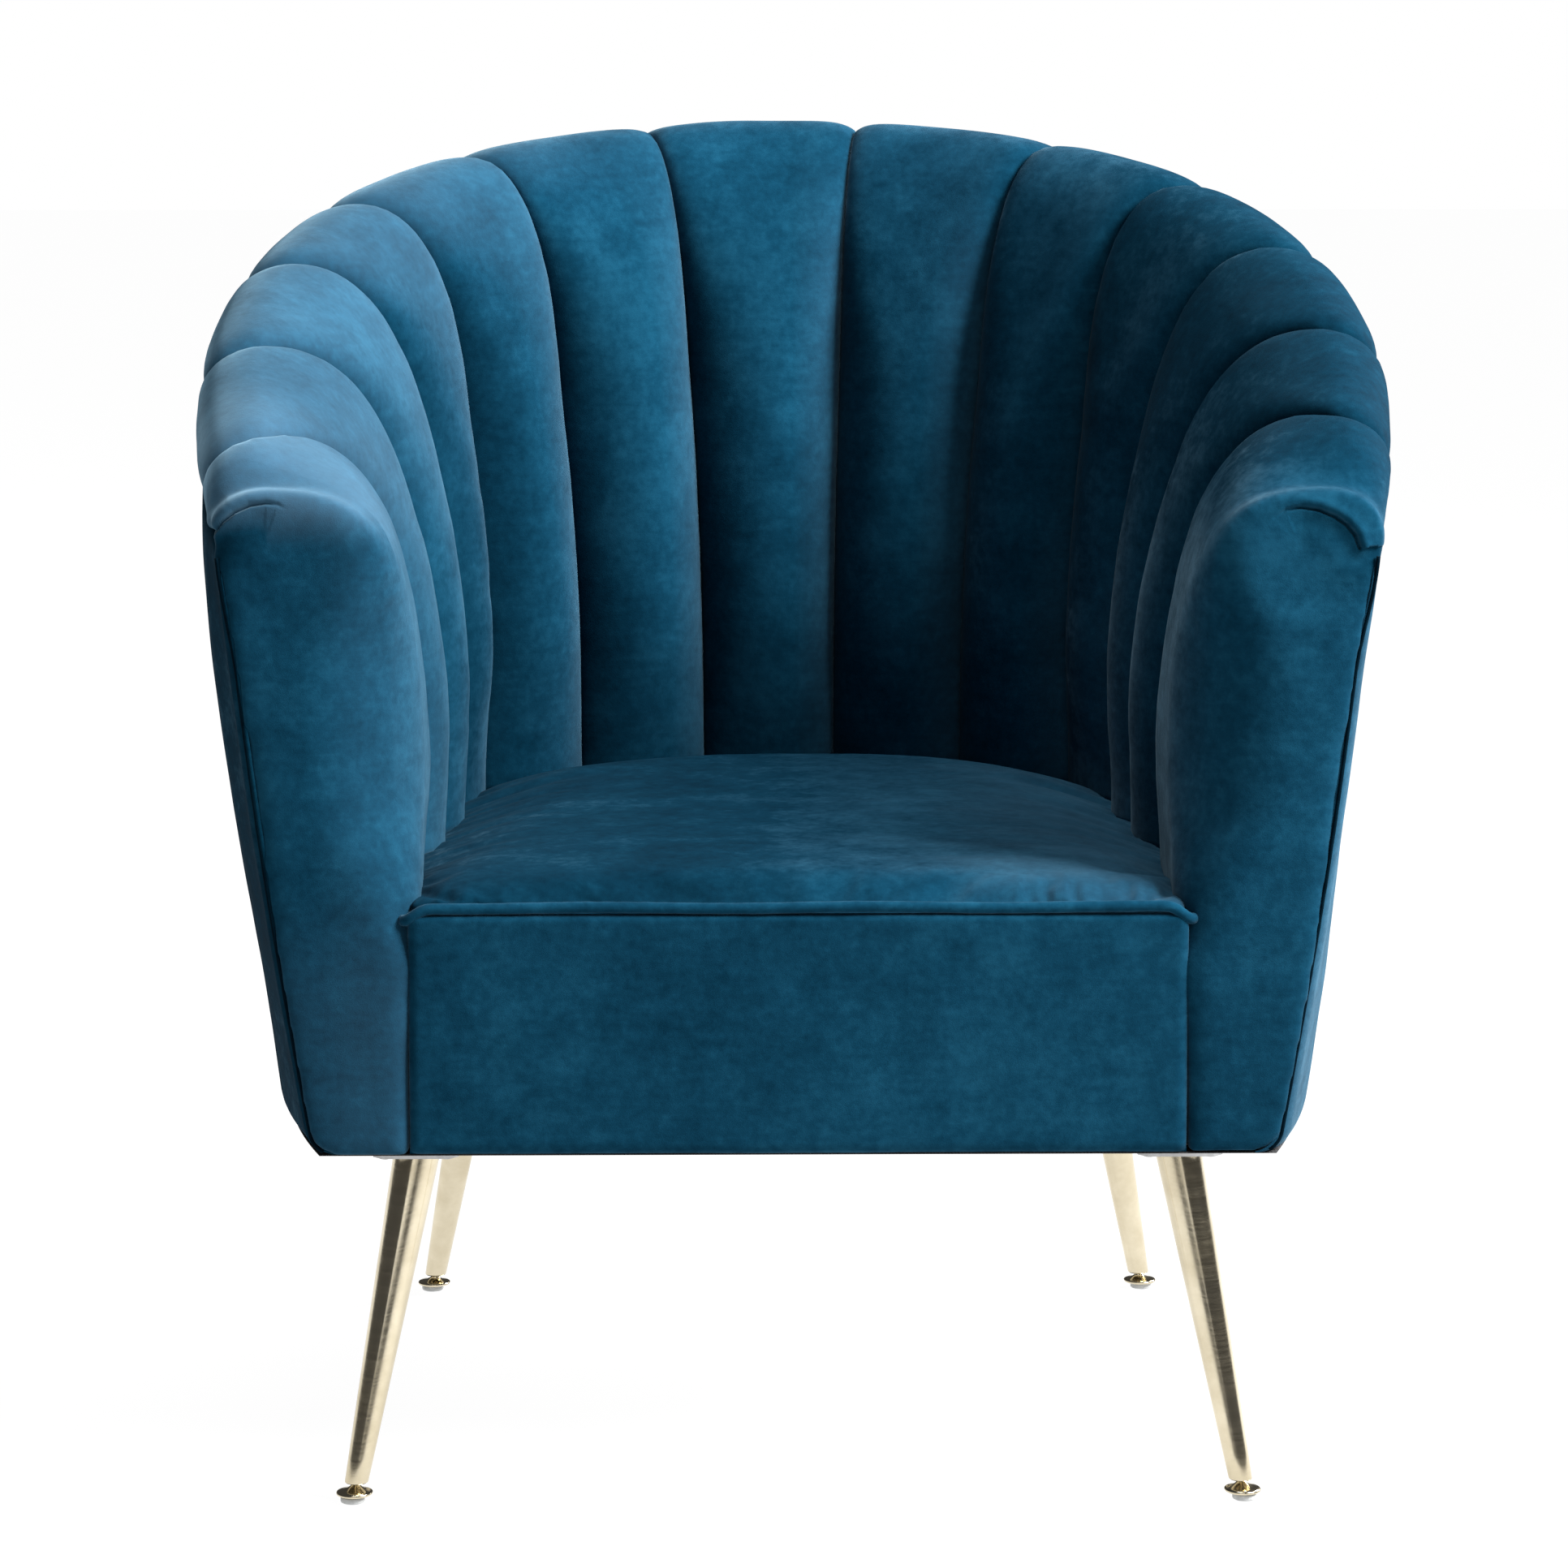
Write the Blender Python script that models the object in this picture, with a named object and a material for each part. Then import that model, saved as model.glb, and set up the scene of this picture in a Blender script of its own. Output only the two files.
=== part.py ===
"""Channel-back tub armchair on four splayed metal legs with levelling glides.

Frame of the part: X to the chair's left-right (right is +X seen from the front), Y from front to back,
Z up, in metres. The floor is Z = 0 and the front faces of the arms lie near Y = 0 before centring.
"""
import math

import bmesh
import bpy
import numpy as np

# ---------------------------------------------------------------- overall placing
CENTRE_Y = 0.3516            # depth of the middle of the chair, moved to Y = 0 at the end

# ---------------------------------------------------------------- crest of the wall (the line along its top)
CREST_HALF_WIDTH = 0.3476
CREST_BACK_REACH = 0.4435
CREST_STRAIGHT = 0.2263      # length of the straight arm part, from the front to where the bend starts
CREST_TOE_IN = 0.0731        # how much the arms close in towards the front, per REACH_UNIT squared
REACH_UNIT = 0.416
CREST_Z_BACK = 0.8290
CREST_Z_FRONT = 0.6417
CREST_FALL = 1.22
NOSE_DROP = 0.013            # extra fall of the crest line at the very front of the arm
RIM_OUT_SIDE = 0.0345        # crest line to outer face
RIM_OUT_BACK = 0.060
RIM_DROP = 0.030
RIM_SKIRT = 0.020            # straight part of a channel below the rolled edge, outside

# ---------------------------------------------------------------- foot of the wall at seat level
BASE_HALF_WIDTH = 0.2294
BASE_BACK_REACH = 0.1723
BASE_STRAIGHT = 0.4084
BASE_TOE_IN = -0.0827
BASE_FRONT_X = 0.2465
SEAT_Z = 0.3825              # underside of the channels, just above the border of the cushion

# ---------------------------------------------------------------- channels
CHANNELS = 11                # between the two outermost seams
# Where the seams cross the crest, as lengths from its middle. They are sewn slightly unevenly.
SEAM_ARCS_CREST = (-0.7816, -0.6425, -0.5044, -0.3800, -0.2435, -0.0982,
                   0.0513, 0.1990, 0.3321, 0.4743, 0.6184, 0.7485)
SEAM_PITCH_BASE = 0.0909
SEAM_SHIFT_BASE = -0.0120
PAD_T = 0.022                # padding behind the seam line
BULGE = 0.0125
FRONT_SWELL = 0.70           # share of the swell left where a front channel meets the arm front
SEAM_GAP = 0.036             # share of half a channel left free at each edge
FRONT_Y = 0.020              # where the front channels end and the arm fronts begin
FRONT_K = 6.5                # channel coordinate of that end

# ---------------------------------------------------------------- outer shell at its bottom edge
FOOT_HALF_WIDTH = 0.340
FOOT_BACK_REACH = 0.3887
FOOT_STRAIGHT = 0.2263
FOOT_TOE_IN = 0.1159
BODY_Z = 0.2200
COVER_T = 0.005
COVER_BOW = 0.004

# ---------------------------------------------------------------- seat
CUSHION_Z = (0.3532, 0.3812)
CROWN = 0.018
FOAM_Z = (0.2985, 0.3524)
PLATFORM_Z = (0.2965, 0.2975)
TUCK = 0.016                 # cushion border hidden under the channels
PIPING_R = 0.0036
PIPING_Z = 0.3780

# ---------------------------------------------------------------- frame
RAIL_Z = (0.2206, 0.2805)
RAIL_T = 0.022
RAIL_INSET = 0.0085
BOARD_T = 0.006
BOARD_GAP = 0.0025
BOARD_LOW_Z = 0.300
SPRING_X = (-0.170, -0.085, 0.0, 0.085, 0.170)
SPRING_Z = 0.2836
SPRING_ARCH = 0.009
WIRE_R = 0.0017

# ---------------------------------------------------------------- legs
FRONT_FOOT = (0.2828, -0.0193)
REAR_FOOT = (0.2589, 0.5051)
SPLAY_OUT = 0.188            # sideways run per metre of height
SPLAY_ALONG = 0.220          # fore-and-aft run per metre of height
LEG_TOP_Z = 0.2158
LEG_END_Z = 0.0122
LEG_TOP_R = 0.0150
LEG_END_R = 0.0076
BORE_R = 0.0034
BORE_TOP_Z = 0.0460
STEM_R = 0.0030
DISC_R = 0.0117
PAD_R = 0.0077
PAD_TOP_Z = 0.0040


def material(name, colour, roughness, metallic=0.0):
    """A plain Principled material."""
    mat = bpy.data.materials.new(name)
    mat.use_nodes = True
    shader = mat.node_tree.nodes["Principled BSDF"]
    shader.inputs["Base Color"].default_value = (*colour, 1.0)
    shader.inputs["Roughness"].default_value = roughness
    shader.inputs["Metallic"].default_value = metallic
    return mat


def solid(name, verts, faces, colour, roughness=0.8, metallic=0.0, smooth=False):
    """One closed mesh object, its faces turned outward."""
    mesh = bpy.data.meshes.new(name)
    verts = np.asarray(verts, dtype=float)
    moved = verts - np.array([0.0, CENTRE_Y, 0.0])
    mesh.from_pydata([tuple(v) for v in moved], [], [tuple(f) for f in faces])
    work = bmesh.new()
    work.from_mesh(mesh)
    bmesh.ops.recalc_face_normals(work, faces=work.faces)
    if work.calc_volume(signed=True) < 0:
        bmesh.ops.reverse_faces(work, faces=work.faces)
    work.to_mesh(mesh)
    work.free()
    obj = bpy.data.objects.new(name, mesh)
    bpy.context.scene.collection.objects.link(obj)
    mesh.materials.append(material(name + "_finish", colour, roughness, metallic))
    if smooth:
        mesh.shade_smooth()
        mesh.set_sharp_from_angle(angle=math.radians(40))
    return obj


def box(name, low, high, colour, roughness=0.8, metallic=0.0):
    """An upright box between two corners."""
    (x0, y0, z0), (x1, y1, z1) = low, high
    verts = [(x, y, z) for z in (z0, z1) for x, y in ((x0, y0), (x1, y0), (x1, y1), (x0, y1))]
    faces = [(0, 3, 2, 1), (4, 5, 6, 7), (0, 1, 5, 4), (1, 2, 6, 5), (2, 3, 7, 6), (3, 0, 4, 7)]
    return solid(name, verts, faces, colour, roughness, metallic)


def prism(name, outline, z0, z1, colour, roughness=0.8, metallic=0.0):
    """An upright prism on a plan outline."""
    n = len(outline)
    verts = [(x, y, z0) for x, y in outline] + [(x, y, z1) for x, y in outline]
    faces = [tuple(range(n))[::-1], tuple(range(n, 2 * n))]
    for i in range(n):
        j = (i + 1) % n
        faces.append((i, j, n + j, n + i))
    return solid(name, verts, faces, colour, roughness, metallic)


def slab(name, front, back, colour, roughness=0.8, metallic=0.0, smooth=False):
    """A closed body between two grids of points of the same shape."""
    front = np.asarray(front)
    back = np.asarray(back)
    nu, nv = front.shape[:2]
    verts = np.concatenate([front.reshape(-1, 3), back.reshape(-1, 3)])
    size = nu * nv
    faces = []
    for i in range(nu - 1):
        for j in range(nv - 1):
            a, b, c, d = i * nv + j, (i + 1) * nv + j, (i + 1) * nv + j + 1, i * nv + j + 1
            faces.append((a, b, c, d))
            faces.append((size + d, size + c, size + b, size + a))
    for j in (0, nv - 1):
        for i in range(nu - 1):
            a, b = i * nv + j, (i + 1) * nv + j
            faces.append((a, b, size + b, size + a) if j else (b, a, size + a, size + b))
    for i in (0, nu - 1):
        for j in range(nv - 1):
            a, b = i * nv + j, i * nv + j + 1
            pair = [(a, b, size + b), (a, size + b, size + a)]
            faces += pair if i == 0 else [face[::-1] for face in pair]
    return solid(name, verts, faces, colour, roughness, metallic, smooth)


def rings(name, loops, colour, roughness=0.8, metallic=0.0, smooth=True):
    """A body skinned over a row of loops with the same number of points, its ends capped."""
    n = len(loops[0])
    verts = [p for loop in loops for p in loop]
    faces = []
    for i in range(len(loops) - 1):
        for j in range(n):
            a, b = i * n + j, i * n + (j + 1) % n
            faces.append((a, b, b + n, a + n))
    faces.append(tuple(range(n))[::-1])
    faces.append(tuple((len(loops) - 1) * n + j for j in range(n)))
    return solid(name, verts, faces, colour, roughness, metallic, smooth)


def tube(name, path, radius, sides, colour, roughness=0.8, metallic=0.0):
    """A round bar along a path of points."""
    path = np.asarray(path, dtype=float)
    ahead = np.gradient(path, axis=0)
    ahead /= np.linalg.norm(ahead, axis=1)[:, None]
    loops = []
    side = None
    for p, t in zip(path, ahead):
        if side is None:
            side = np.cross(t, (0.0, 0.0, 1.0))
        side = side - t * side.dot(t)
        side /= np.linalg.norm(side)
        up = np.cross(side, t)
        turn = [2 * math.pi * i / sides for i in range(sides)]
        loops.append([p + radius * (math.cos(a) * side + math.sin(a) * up) for a in turn])
    return rings(name, loops, colour, roughness, metallic)


def horseshoe(arc, half_width, reach, straight, toe_in):
    """Plan point at a signed length from the middle of the back: half an ellipse, then a straight arm."""
    turn = np.linspace(0.0, math.pi / 2, 400)
    speed = np.sqrt((half_width * np.cos(turn)) ** 2 + (reach * np.sin(turn)) ** 2)
    length = np.concatenate([[0.0], np.cumsum((speed[1:] + speed[:-1]) / 2 * np.diff(turn))])
    far = abs(arc)
    phi = np.interp(min(far, length[-1]), length, turn)
    run = max(far - length[-1], 0.0)
    x = half_width * math.sin(phi) - toe_in * (run / REACH_UNIT) ** 2
    y = straight + reach * math.cos(phi) - run
    return np.array([math.copysign(1.0, arc) * x, y])


def horseshoe_length(half_width, reach, straight):
    """Length of one half of a horseshoe, back middle to front end."""
    turn = np.linspace(0.0, math.pi / 2, 400)
    speed = np.sqrt((half_width * np.cos(turn)) ** 2 + (reach * np.sin(turn)) ** 2)
    return float(np.sum((speed[1:] + speed[:-1]) / 2 * np.diff(turn))) + straight


CREST_LENGTH = horseshoe_length(CREST_HALF_WIDTH, CREST_BACK_REACH, CREST_STRAIGHT)
FOOT_LENGTH = horseshoe_length(FOOT_HALF_WIDTH, FOOT_BACK_REACH, FOOT_STRAIGHT)
LAST_SEAM = CHANNELS / 2


def crest_arc(k):
    """Length along the crest of channel coordinate k. Seams lie at half-integer k."""
    inner = float(np.interp(k, np.arange(CHANNELS + 1) - LAST_SEAM, SEAM_ARCS_CREST))
    if abs(k) <= LAST_SEAM:
        return inner
    share = (abs(k) - LAST_SEAM) / (FRONT_K - LAST_SEAM)
    end = math.copysign(CREST_LENGTH - FRONT_Y, k)
    return inner + (end - inner) * share


def crest_plan(arc):
    return horseshoe(arc, CREST_HALF_WIDTH, CREST_BACK_REACH, CREST_STRAIGHT, CREST_TOE_IN)


def crest(k):
    """Point on the crest line."""
    arc = crest_arc(k)
    x, y = crest_plan(arc)
    share = abs(arc) / CREST_LENGTH
    nose = max(abs(k) - LAST_SEAM, 0.0) / (FRONT_K - LAST_SEAM)
    z = CREST_Z_FRONT + (CREST_Z_BACK - CREST_Z_FRONT) * max(1 - share ** 2, 0.0) ** CREST_FALL
    return np.array([x, y, z - NOSE_DROP * nose ** 3])


def crest_out(k):
    """Plan direction that points out of the chair at the crest."""
    arc = crest_arc(k)
    ahead = crest_plan(arc + 0.002) - crest_plan(arc - 0.002)
    out = np.array([-ahead[1], ahead[0]])
    out /= np.linalg.norm(out)
    share = max(abs(k) - LAST_SEAM, 0.0) / (FRONT_K - LAST_SEAM)
    out = out * (1 - share) + np.array([math.copysign(1.0, k), 0.0]) * share
    return out / np.linalg.norm(out)


def base(k):
    """Plan point of the seam line at seat level."""
    inner = min(max(k, -LAST_SEAM), LAST_SEAM) * SEAM_PITCH_BASE + SEAM_SHIFT_BASE
    point = horseshoe(inner, BASE_HALF_WIDTH, BASE_BACK_REACH, BASE_STRAIGHT, BASE_TOE_IN)
    if abs(k) <= LAST_SEAM:
        return point
    share = (abs(k) - LAST_SEAM) / (FRONT_K - LAST_SEAM)
    end = np.array([math.copysign(BASE_FRONT_X, k), FRONT_Y])
    return point + (end - point) * share


def rim_out(k):
    """Crest line to outer face, wider at the back than at the arms."""
    share = min(abs(crest_arc(k)) / 0.48, 1.0)
    return RIM_OUT_BACK + (RIM_OUT_SIDE - RIM_OUT_BACK) * (share * share * (3 - 2 * share))


INNER_STEPS = 11
ROLL_STEPS = 5


def seam_line(k, low_z=None):
    """The seam line of one cross-section of the wall, from seat level over the crest to the outer edge. With low_z
    it starts lower, straight down."""
    foot = base(k)
    top = crest(k)
    run = top[:2] - foot
    depth = np.linalg.norm(run)
    across = run / depth
    share = min(abs(crest_arc(k)) / CREST_LENGTH, 1.0)
    shoulder = 0.0807 * share
    rise = top[2] - SEAT_Z
    p0, p1 = np.array([0.0, SEAT_Z]), np.array([0.0, SEAT_Z + 0.869 * rise])
    p2, p3 = np.array([depth - shoulder, top[2]]), np.array([depth, top[2]])
    line = [] if low_z is None else [(*foot, low_z)]
    for t in np.linspace(0.0, 1.0, INNER_STEPS + 1):
        q = (1 - t) ** 3 * p0 + 3 * (1 - t) ** 2 * t * p1 + 3 * (1 - t) * t * t * p2 + t ** 3 * p3
        line.append((*(foot + across * q[0]), q[1]))
    out = crest_out(k)
    wide = rim_out(k)
    for step in range(1, ROLL_STEPS + 1):
        a = math.pi / 2 * step / ROLL_STEPS
        go = across * (1 - step / ROLL_STEPS) + out * (step / ROLL_STEPS)
        go = go / np.linalg.norm(go)
        line.append((*(top[:2] + go * wide * math.sin(a)), top[2] - RIM_DROP * (1 - math.cos(a))))
    x, y, z = line[-1]
    line.append((x, y, z - RIM_SKIRT))
    return np.array(line)


def section(k, low_z=None):
    """A cross-section of the wall with the outward normal at each of its points."""
    points = seam_line(k, low_z)
    sideways = seam_line(k + 0.04, low_z) - seam_line(k - 0.04, low_z)
    along = np.gradient(points, axis=0)
    normals = np.cross(sideways, along)
    share = max(abs(k) - LAST_SEAM, 0.0) / (FRONT_K - LAST_SEAM)
    normals[:, 1] *= 1 - min(share, 1.0) ** 2
    normals /= np.linalg.norm(normals, axis=1)[:, None]
    if np.dot(normals[2, :2], crest(k)[:2] - base(k)) > 0:
        normals = -normals
    return points, normals


def foot_plan(arc):
    return horseshoe(arc, FOOT_HALF_WIDTH, FOOT_BACK_REACH, FOOT_STRAIGHT, FOOT_TOE_IN)


def foot_arc(k):
    """Length along the bottom edge of the shell for channel coordinate k."""
    return crest_arc(k) * (FOOT_LENGTH - FRONT_Y) / (CREST_LENGTH - FRONT_Y)


def shell(k, z):
    """Point on the outer face of the shell at height z."""
    top = crest(k)
    high = top[:2] + crest_out(k) * (rim_out(k) - 0.001)
    low = foot_plan(foot_arc(k))
    share = (z - BODY_Z) / (top[2] - RIM_DROP - BODY_Z)
    plan = low + (high - low) * share
    bow = COVER_BOW * math.sin(math.pi * min(max(share, 0.0), 1.0))
    return np.array([*(plan + crest_out(k) * bow), z])


VELVET = (0.028, 0.110, 0.175)
WOOD = (0.60, 0.42, 0.25)
PLY = (0.66, 0.50, 0.32)
STEEL = (0.55, 0.56, 0.58)
GOLD = (0.80, 0.74, 0.60)


def swelling(count):
    """How far a channel has swelled at each point of its length: little at the seat, nothing at the outer edge."""
    rise = np.array([min(1.0, 0.25 + 4.0 * j / count) for j in range(count)])
    rise[-4:] = (0.85, 0.6, 0.3, 0.0)
    return rise


def swelling_front(count):
    """The same where a front channel meets the arm front, flush with the seat's edge at its lower end."""
    rise = swelling(count)
    rise[:4] = (0.0, 0.3, 0.6, 0.9)
    return rise


def build_channels():
    """Padded channels between neighbouring seams, and one more at the front of each arm."""
    spans = []
    for i in range(CHANNELS):
        spans.append(("channel_%02d" % (i + 1), i - LAST_SEAM, i - LAST_SEAM + 1))
    spans.append(("front_channel_left", -FRONT_K, -LAST_SEAM - 0.12))
    spans.append(("front_channel_right", LAST_SEAM + 0.12, FRONT_K))
    across = (-1.0, -0.8, -0.4, 0.0, 0.4, 0.8, 1.0)
    for name, k0, k1 in spans:
        front, back = [], []
        middle, half = (k0 + k1) / 2, (k1 - k0) / 2 * (1 - SEAM_GAP)
        for s in across:
            points, normals = section(middle + s * half)
            count = len(points)
            swell = (1 - abs(s) ** 2.2) ** 0.6
            rise = swelling(count)
            if name.startswith("front") and s * k0 > 0:
                swell = 1.0 + (FRONT_SWELL - 1.0) * abs(s)
                rise = rise * (1 - abs(s)) + swelling_front(count) * abs(s)
            front.append(points + normals * (BULGE * swell * rise)[:, None])
            back.append(points - normals * PAD_T)
        slab(name, front, back, VELVET, 0.85, smooth=True)


def arm_outline(sign):
    """Outline of an arm's front end in the X-Z plane, inner bottom corner first, with how far each point draws in
    where the face is rounded."""
    points, normals = section(sign * FRONT_K)
    points = points + normals * (BULGE * FRONT_SWELL * swelling_front(len(points)))[:, None]
    inner = [(sign * BASE_FRONT_X, BODY_Z), (sign * BASE_FRONT_X, 0.30)]
    draw = [0.0, 0.015]
    for j, p in enumerate(points):
        inner.append((p[0], p[2]))
        draw.append(0.017 if j < len(points) - 3 else 0.008)
    for z in (0.50, 0.40, 0.30, BODY_Z):
        p = shell(sign * FRONT_K, z)
        inner.append((p[0], z))
        draw.append(0.004)
    draw[-1] = 0.0
    return np.array(inner), np.array(draw)


def build_arm_fronts():
    """Padded front face of each arm."""
    for side, sign in (("left", -1), ("right", 1)):
        outline, draw = arm_outline(sign)
        ahead = np.roll(outline, -1, axis=0) - np.roll(outline, 1, axis=0)
        ahead /= np.linalg.norm(ahead, axis=1)[:, None]
        inward = np.column_stack([-ahead[:, 1], ahead[:, 0]])
        middle = outline.mean(axis=0)
        if np.sum((middle - outline) * inward) < 0:
            inward = -inward
        inward[0] = inward[-1] = (0.0, 0.0)
        depth = FRONT_Y - 0.0006
        loops = []
        for a in np.radians([0.0, 25.0, 50.0, 75.0, 90.0]):
            inset = outline + inward * (draw * (1 - math.cos(a)))[:, None]
            inset[0, 0] = inset[1, 0]
            y = depth * (1 - math.sin(a))
            loops.append([(x, y, z) for x, z in inset])
        rings("arm_front_%s" % side, loops, VELVET, 0.85)


def curve_strip(name, ks, inner, outer, low, high, colour, roughness):
    """A bar that follows the wall: four edges given as functions of k."""
    loops = []
    for k in ks:
        a, b = inner(k), outer(k)
        z0, z1 = low(k), high(k)
        loops.append([(*a, z0), (*b, z0), (*b, z1), (*a, z1)])
    return rings(name, loops, colour, roughness, smooth=False)


def board_line(k, offset):
    """Line of one face of the inner board in a cross-section, from below the seat to under the rim."""
    points, normals = section(k, BOARD_LOW_Z)
    line = points - normals * offset
    line[0] = points[0] + np.array([*(line[1] - points[1])[:2], 0.0])
    keep = [line[0]]
    for p in line[1:INNER_STEPS]:
        if p[2] > keep[-1][2] + 0.002:
            keep.append(p)
    return np.array(keep)


def build_frame():
    """Timber base, posts, ribs and rim, and the board behind the channels."""
    length = FOOT_LENGTH - 0.0432
    arcs = np.linspace(-length, length, 35)
    loops = []
    for arc in arcs:
        ahead = foot_plan(arc + 0.002) - foot_plan(arc - 0.002)
        out = np.array([-ahead[1], ahead[0]]) / np.linalg.norm(ahead)
        edge = foot_plan(arc)
        if abs(arc) > length - 0.001:
            out = np.array([math.copysign(1.0, arc), 0.0])
        a, b = edge - out * (RAIL_INSET + RAIL_T), edge - out * RAIL_INSET
        loops.append([(*a, RAIL_Z[0]), (*b, RAIL_Z[0]), (*b, RAIL_Z[1]), (*a, RAIL_Z[1])])
    rings("base_rail", loops, PLY, 0.7, smooth=False)
    box("front_rail", (-0.2455, 0.0125, RAIL_Z[0]), (0.2455, 0.0340, RAIL_Z[1]), WOOD, 0.7)
    for side, sign in (("left", -1), ("right", 1)):
        xs = sorted((sign * 0.2785, sign * 0.3065))
        box("arm_post_%s" % side, (xs[0], 0.0206, RAIL_Z[0]), (xs[1], 0.0426, 0.560), WOOD, 0.7)
        front = [(0.175, 0.0346), (0.2462, 0.0346), (0.2462, 0.0206), (0.2778, 0.0206), (0.2778, 0.105),
                 (0.175, 0.105)]
        rear = [(0.165, 0.390), (0.272, 0.390), (0.2560, 0.420), (0.2350, 0.450), (0.2080, 0.480), (0.165, 0.500)]
        for end, outline in (("front", front), ("rear", rear)):
            plan = [(sign * x, y) for x, y in outline]
            if sign < 0:
                plan = plan[::-1]
            prism("corner_block_%s_%s" % (end, side), plan, RAIL_Z[0], RAIL_Z[0] + 0.040, WOOD, 0.7)
    ks = np.linspace(-6.15, 6.15, 42)

    def rim_inner(k):
        return crest(k)[:2] - crest_out(k) * 0.004

    def rim_outer(k):
        return crest(k)[:2] + crest_out(k) * (rim_out(k) - 0.0265)

    def rim_low(k):
        return crest(k)[2] - 0.072

    def rim_high(k):
        return crest(k)[2] - 0.052

    curve_strip("top_rim", ks, rim_inner, rim_outer, rim_low, rim_high, PLY, 0.7)
    front, back = [], []
    for k in np.linspace(-6.1, 6.1, 49):
        near = board_line(k, PAD_T + BOARD_GAP)
        far = board_line(k, PAD_T + BOARD_GAP + BOARD_T)
        levels = np.linspace(BOARD_LOW_Z, crest(k)[2] - 0.122, 9)
        front.append([(np.interp(z, near[:, 2], near[:, 0]), np.interp(z, near[:, 2], near[:, 1]), z)
                      for z in levels])
        back.append([(np.interp(z, far[:, 2], far[:, 0]), np.interp(z, far[:, 2], far[:, 1]), z)
                     for z in levels])
    slab("inner_back_board", front, back, PLY, 0.8)
    for number, k in enumerate((-4.0, -2.0, 0.0, 2.0, 4.0)):
        far = board_line(k, PAD_T + BOARD_GAP + BOARD_T)
        aside = np.array([crest_out(k)[1], -crest_out(k)[0]])
        loops = []
        for z in np.linspace(RAIL_Z[1] + 0.001, crest(k)[2] - 0.0800, 9):
            skin = shell(k, z)[:2]
            inner = np.array([np.interp(z, far[:, 2], far[:, 0]), np.interp(z, far[:, 2], far[:, 1])])
            way = skin - inner
            out = crest_out(k)
            outer = skin - out * (COVER_T + 0.004)
            room = np.dot(way, out) - COVER_T - 0.004 - 0.007
            inner = outer - out * min(room, 0.030)
            wide = aside * 0.011
            loops.append([(*(inner - wide), z), (*(outer - wide), z), (*(outer + wide), z), (*(inner + wide), z)])
        rings("back_rib_%d" % (number + 1), loops, WOOD, 0.7, smooth=False)


def build_shell():
    """Covered outer panel, in one piece from arm to arm, and the cloth under the seat."""
    front, back = [], []
    for k in np.linspace(-FRONT_K + 0.002, FRONT_K - 0.002, 45):
        z1 = crest(k)[2] - RIM_DROP - RIM_SKIRT - 0.0012
        levels = np.linspace(BODY_Z, z1, 6)
        out = crest_out(k)
        front.append([shell(k, z) for z in levels])
        back.append([shell(k, z) - np.array([*(out * COVER_T), 0.0]) for z in levels])
    slab("outer_cover", front, back, VELVET, 0.85, smooth=True)
    outline = []
    for arc in np.linspace(-FOOT_LENGTH + 0.005, FOOT_LENGTH - 0.005, 41):
        p = foot_plan(arc)
        outline.append(p * np.array([0.985, 1.0]) + np.array([0.0, -0.004 if p[1] > 0.3 else 0.0]))
    prism("dust_cover", outline, 0.2190, 0.2197, (0.02, 0.02, 0.022), 0.95)


def cushion_outline(tuck, side, front):
    """Plan outline of the cushion: the front corners between the arm fronts, the rest under the channels."""
    plan = [(-side + 0.0035, front), (-side, front + 0.0035), (-side, 0.0210)]
    for k in np.linspace(-6.3, 6.3, 33):
        foot = base(k)
        ahead = base(k + 0.05) - base(k - 0.05)
        out = np.array([-ahead[1], ahead[0]]) / np.linalg.norm(ahead)
        plan.append(tuple(foot + out * tuck))
    plan += [(side, 0.0210), (side, front + 0.0035), (side - 0.0035, front)]
    return plan


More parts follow.
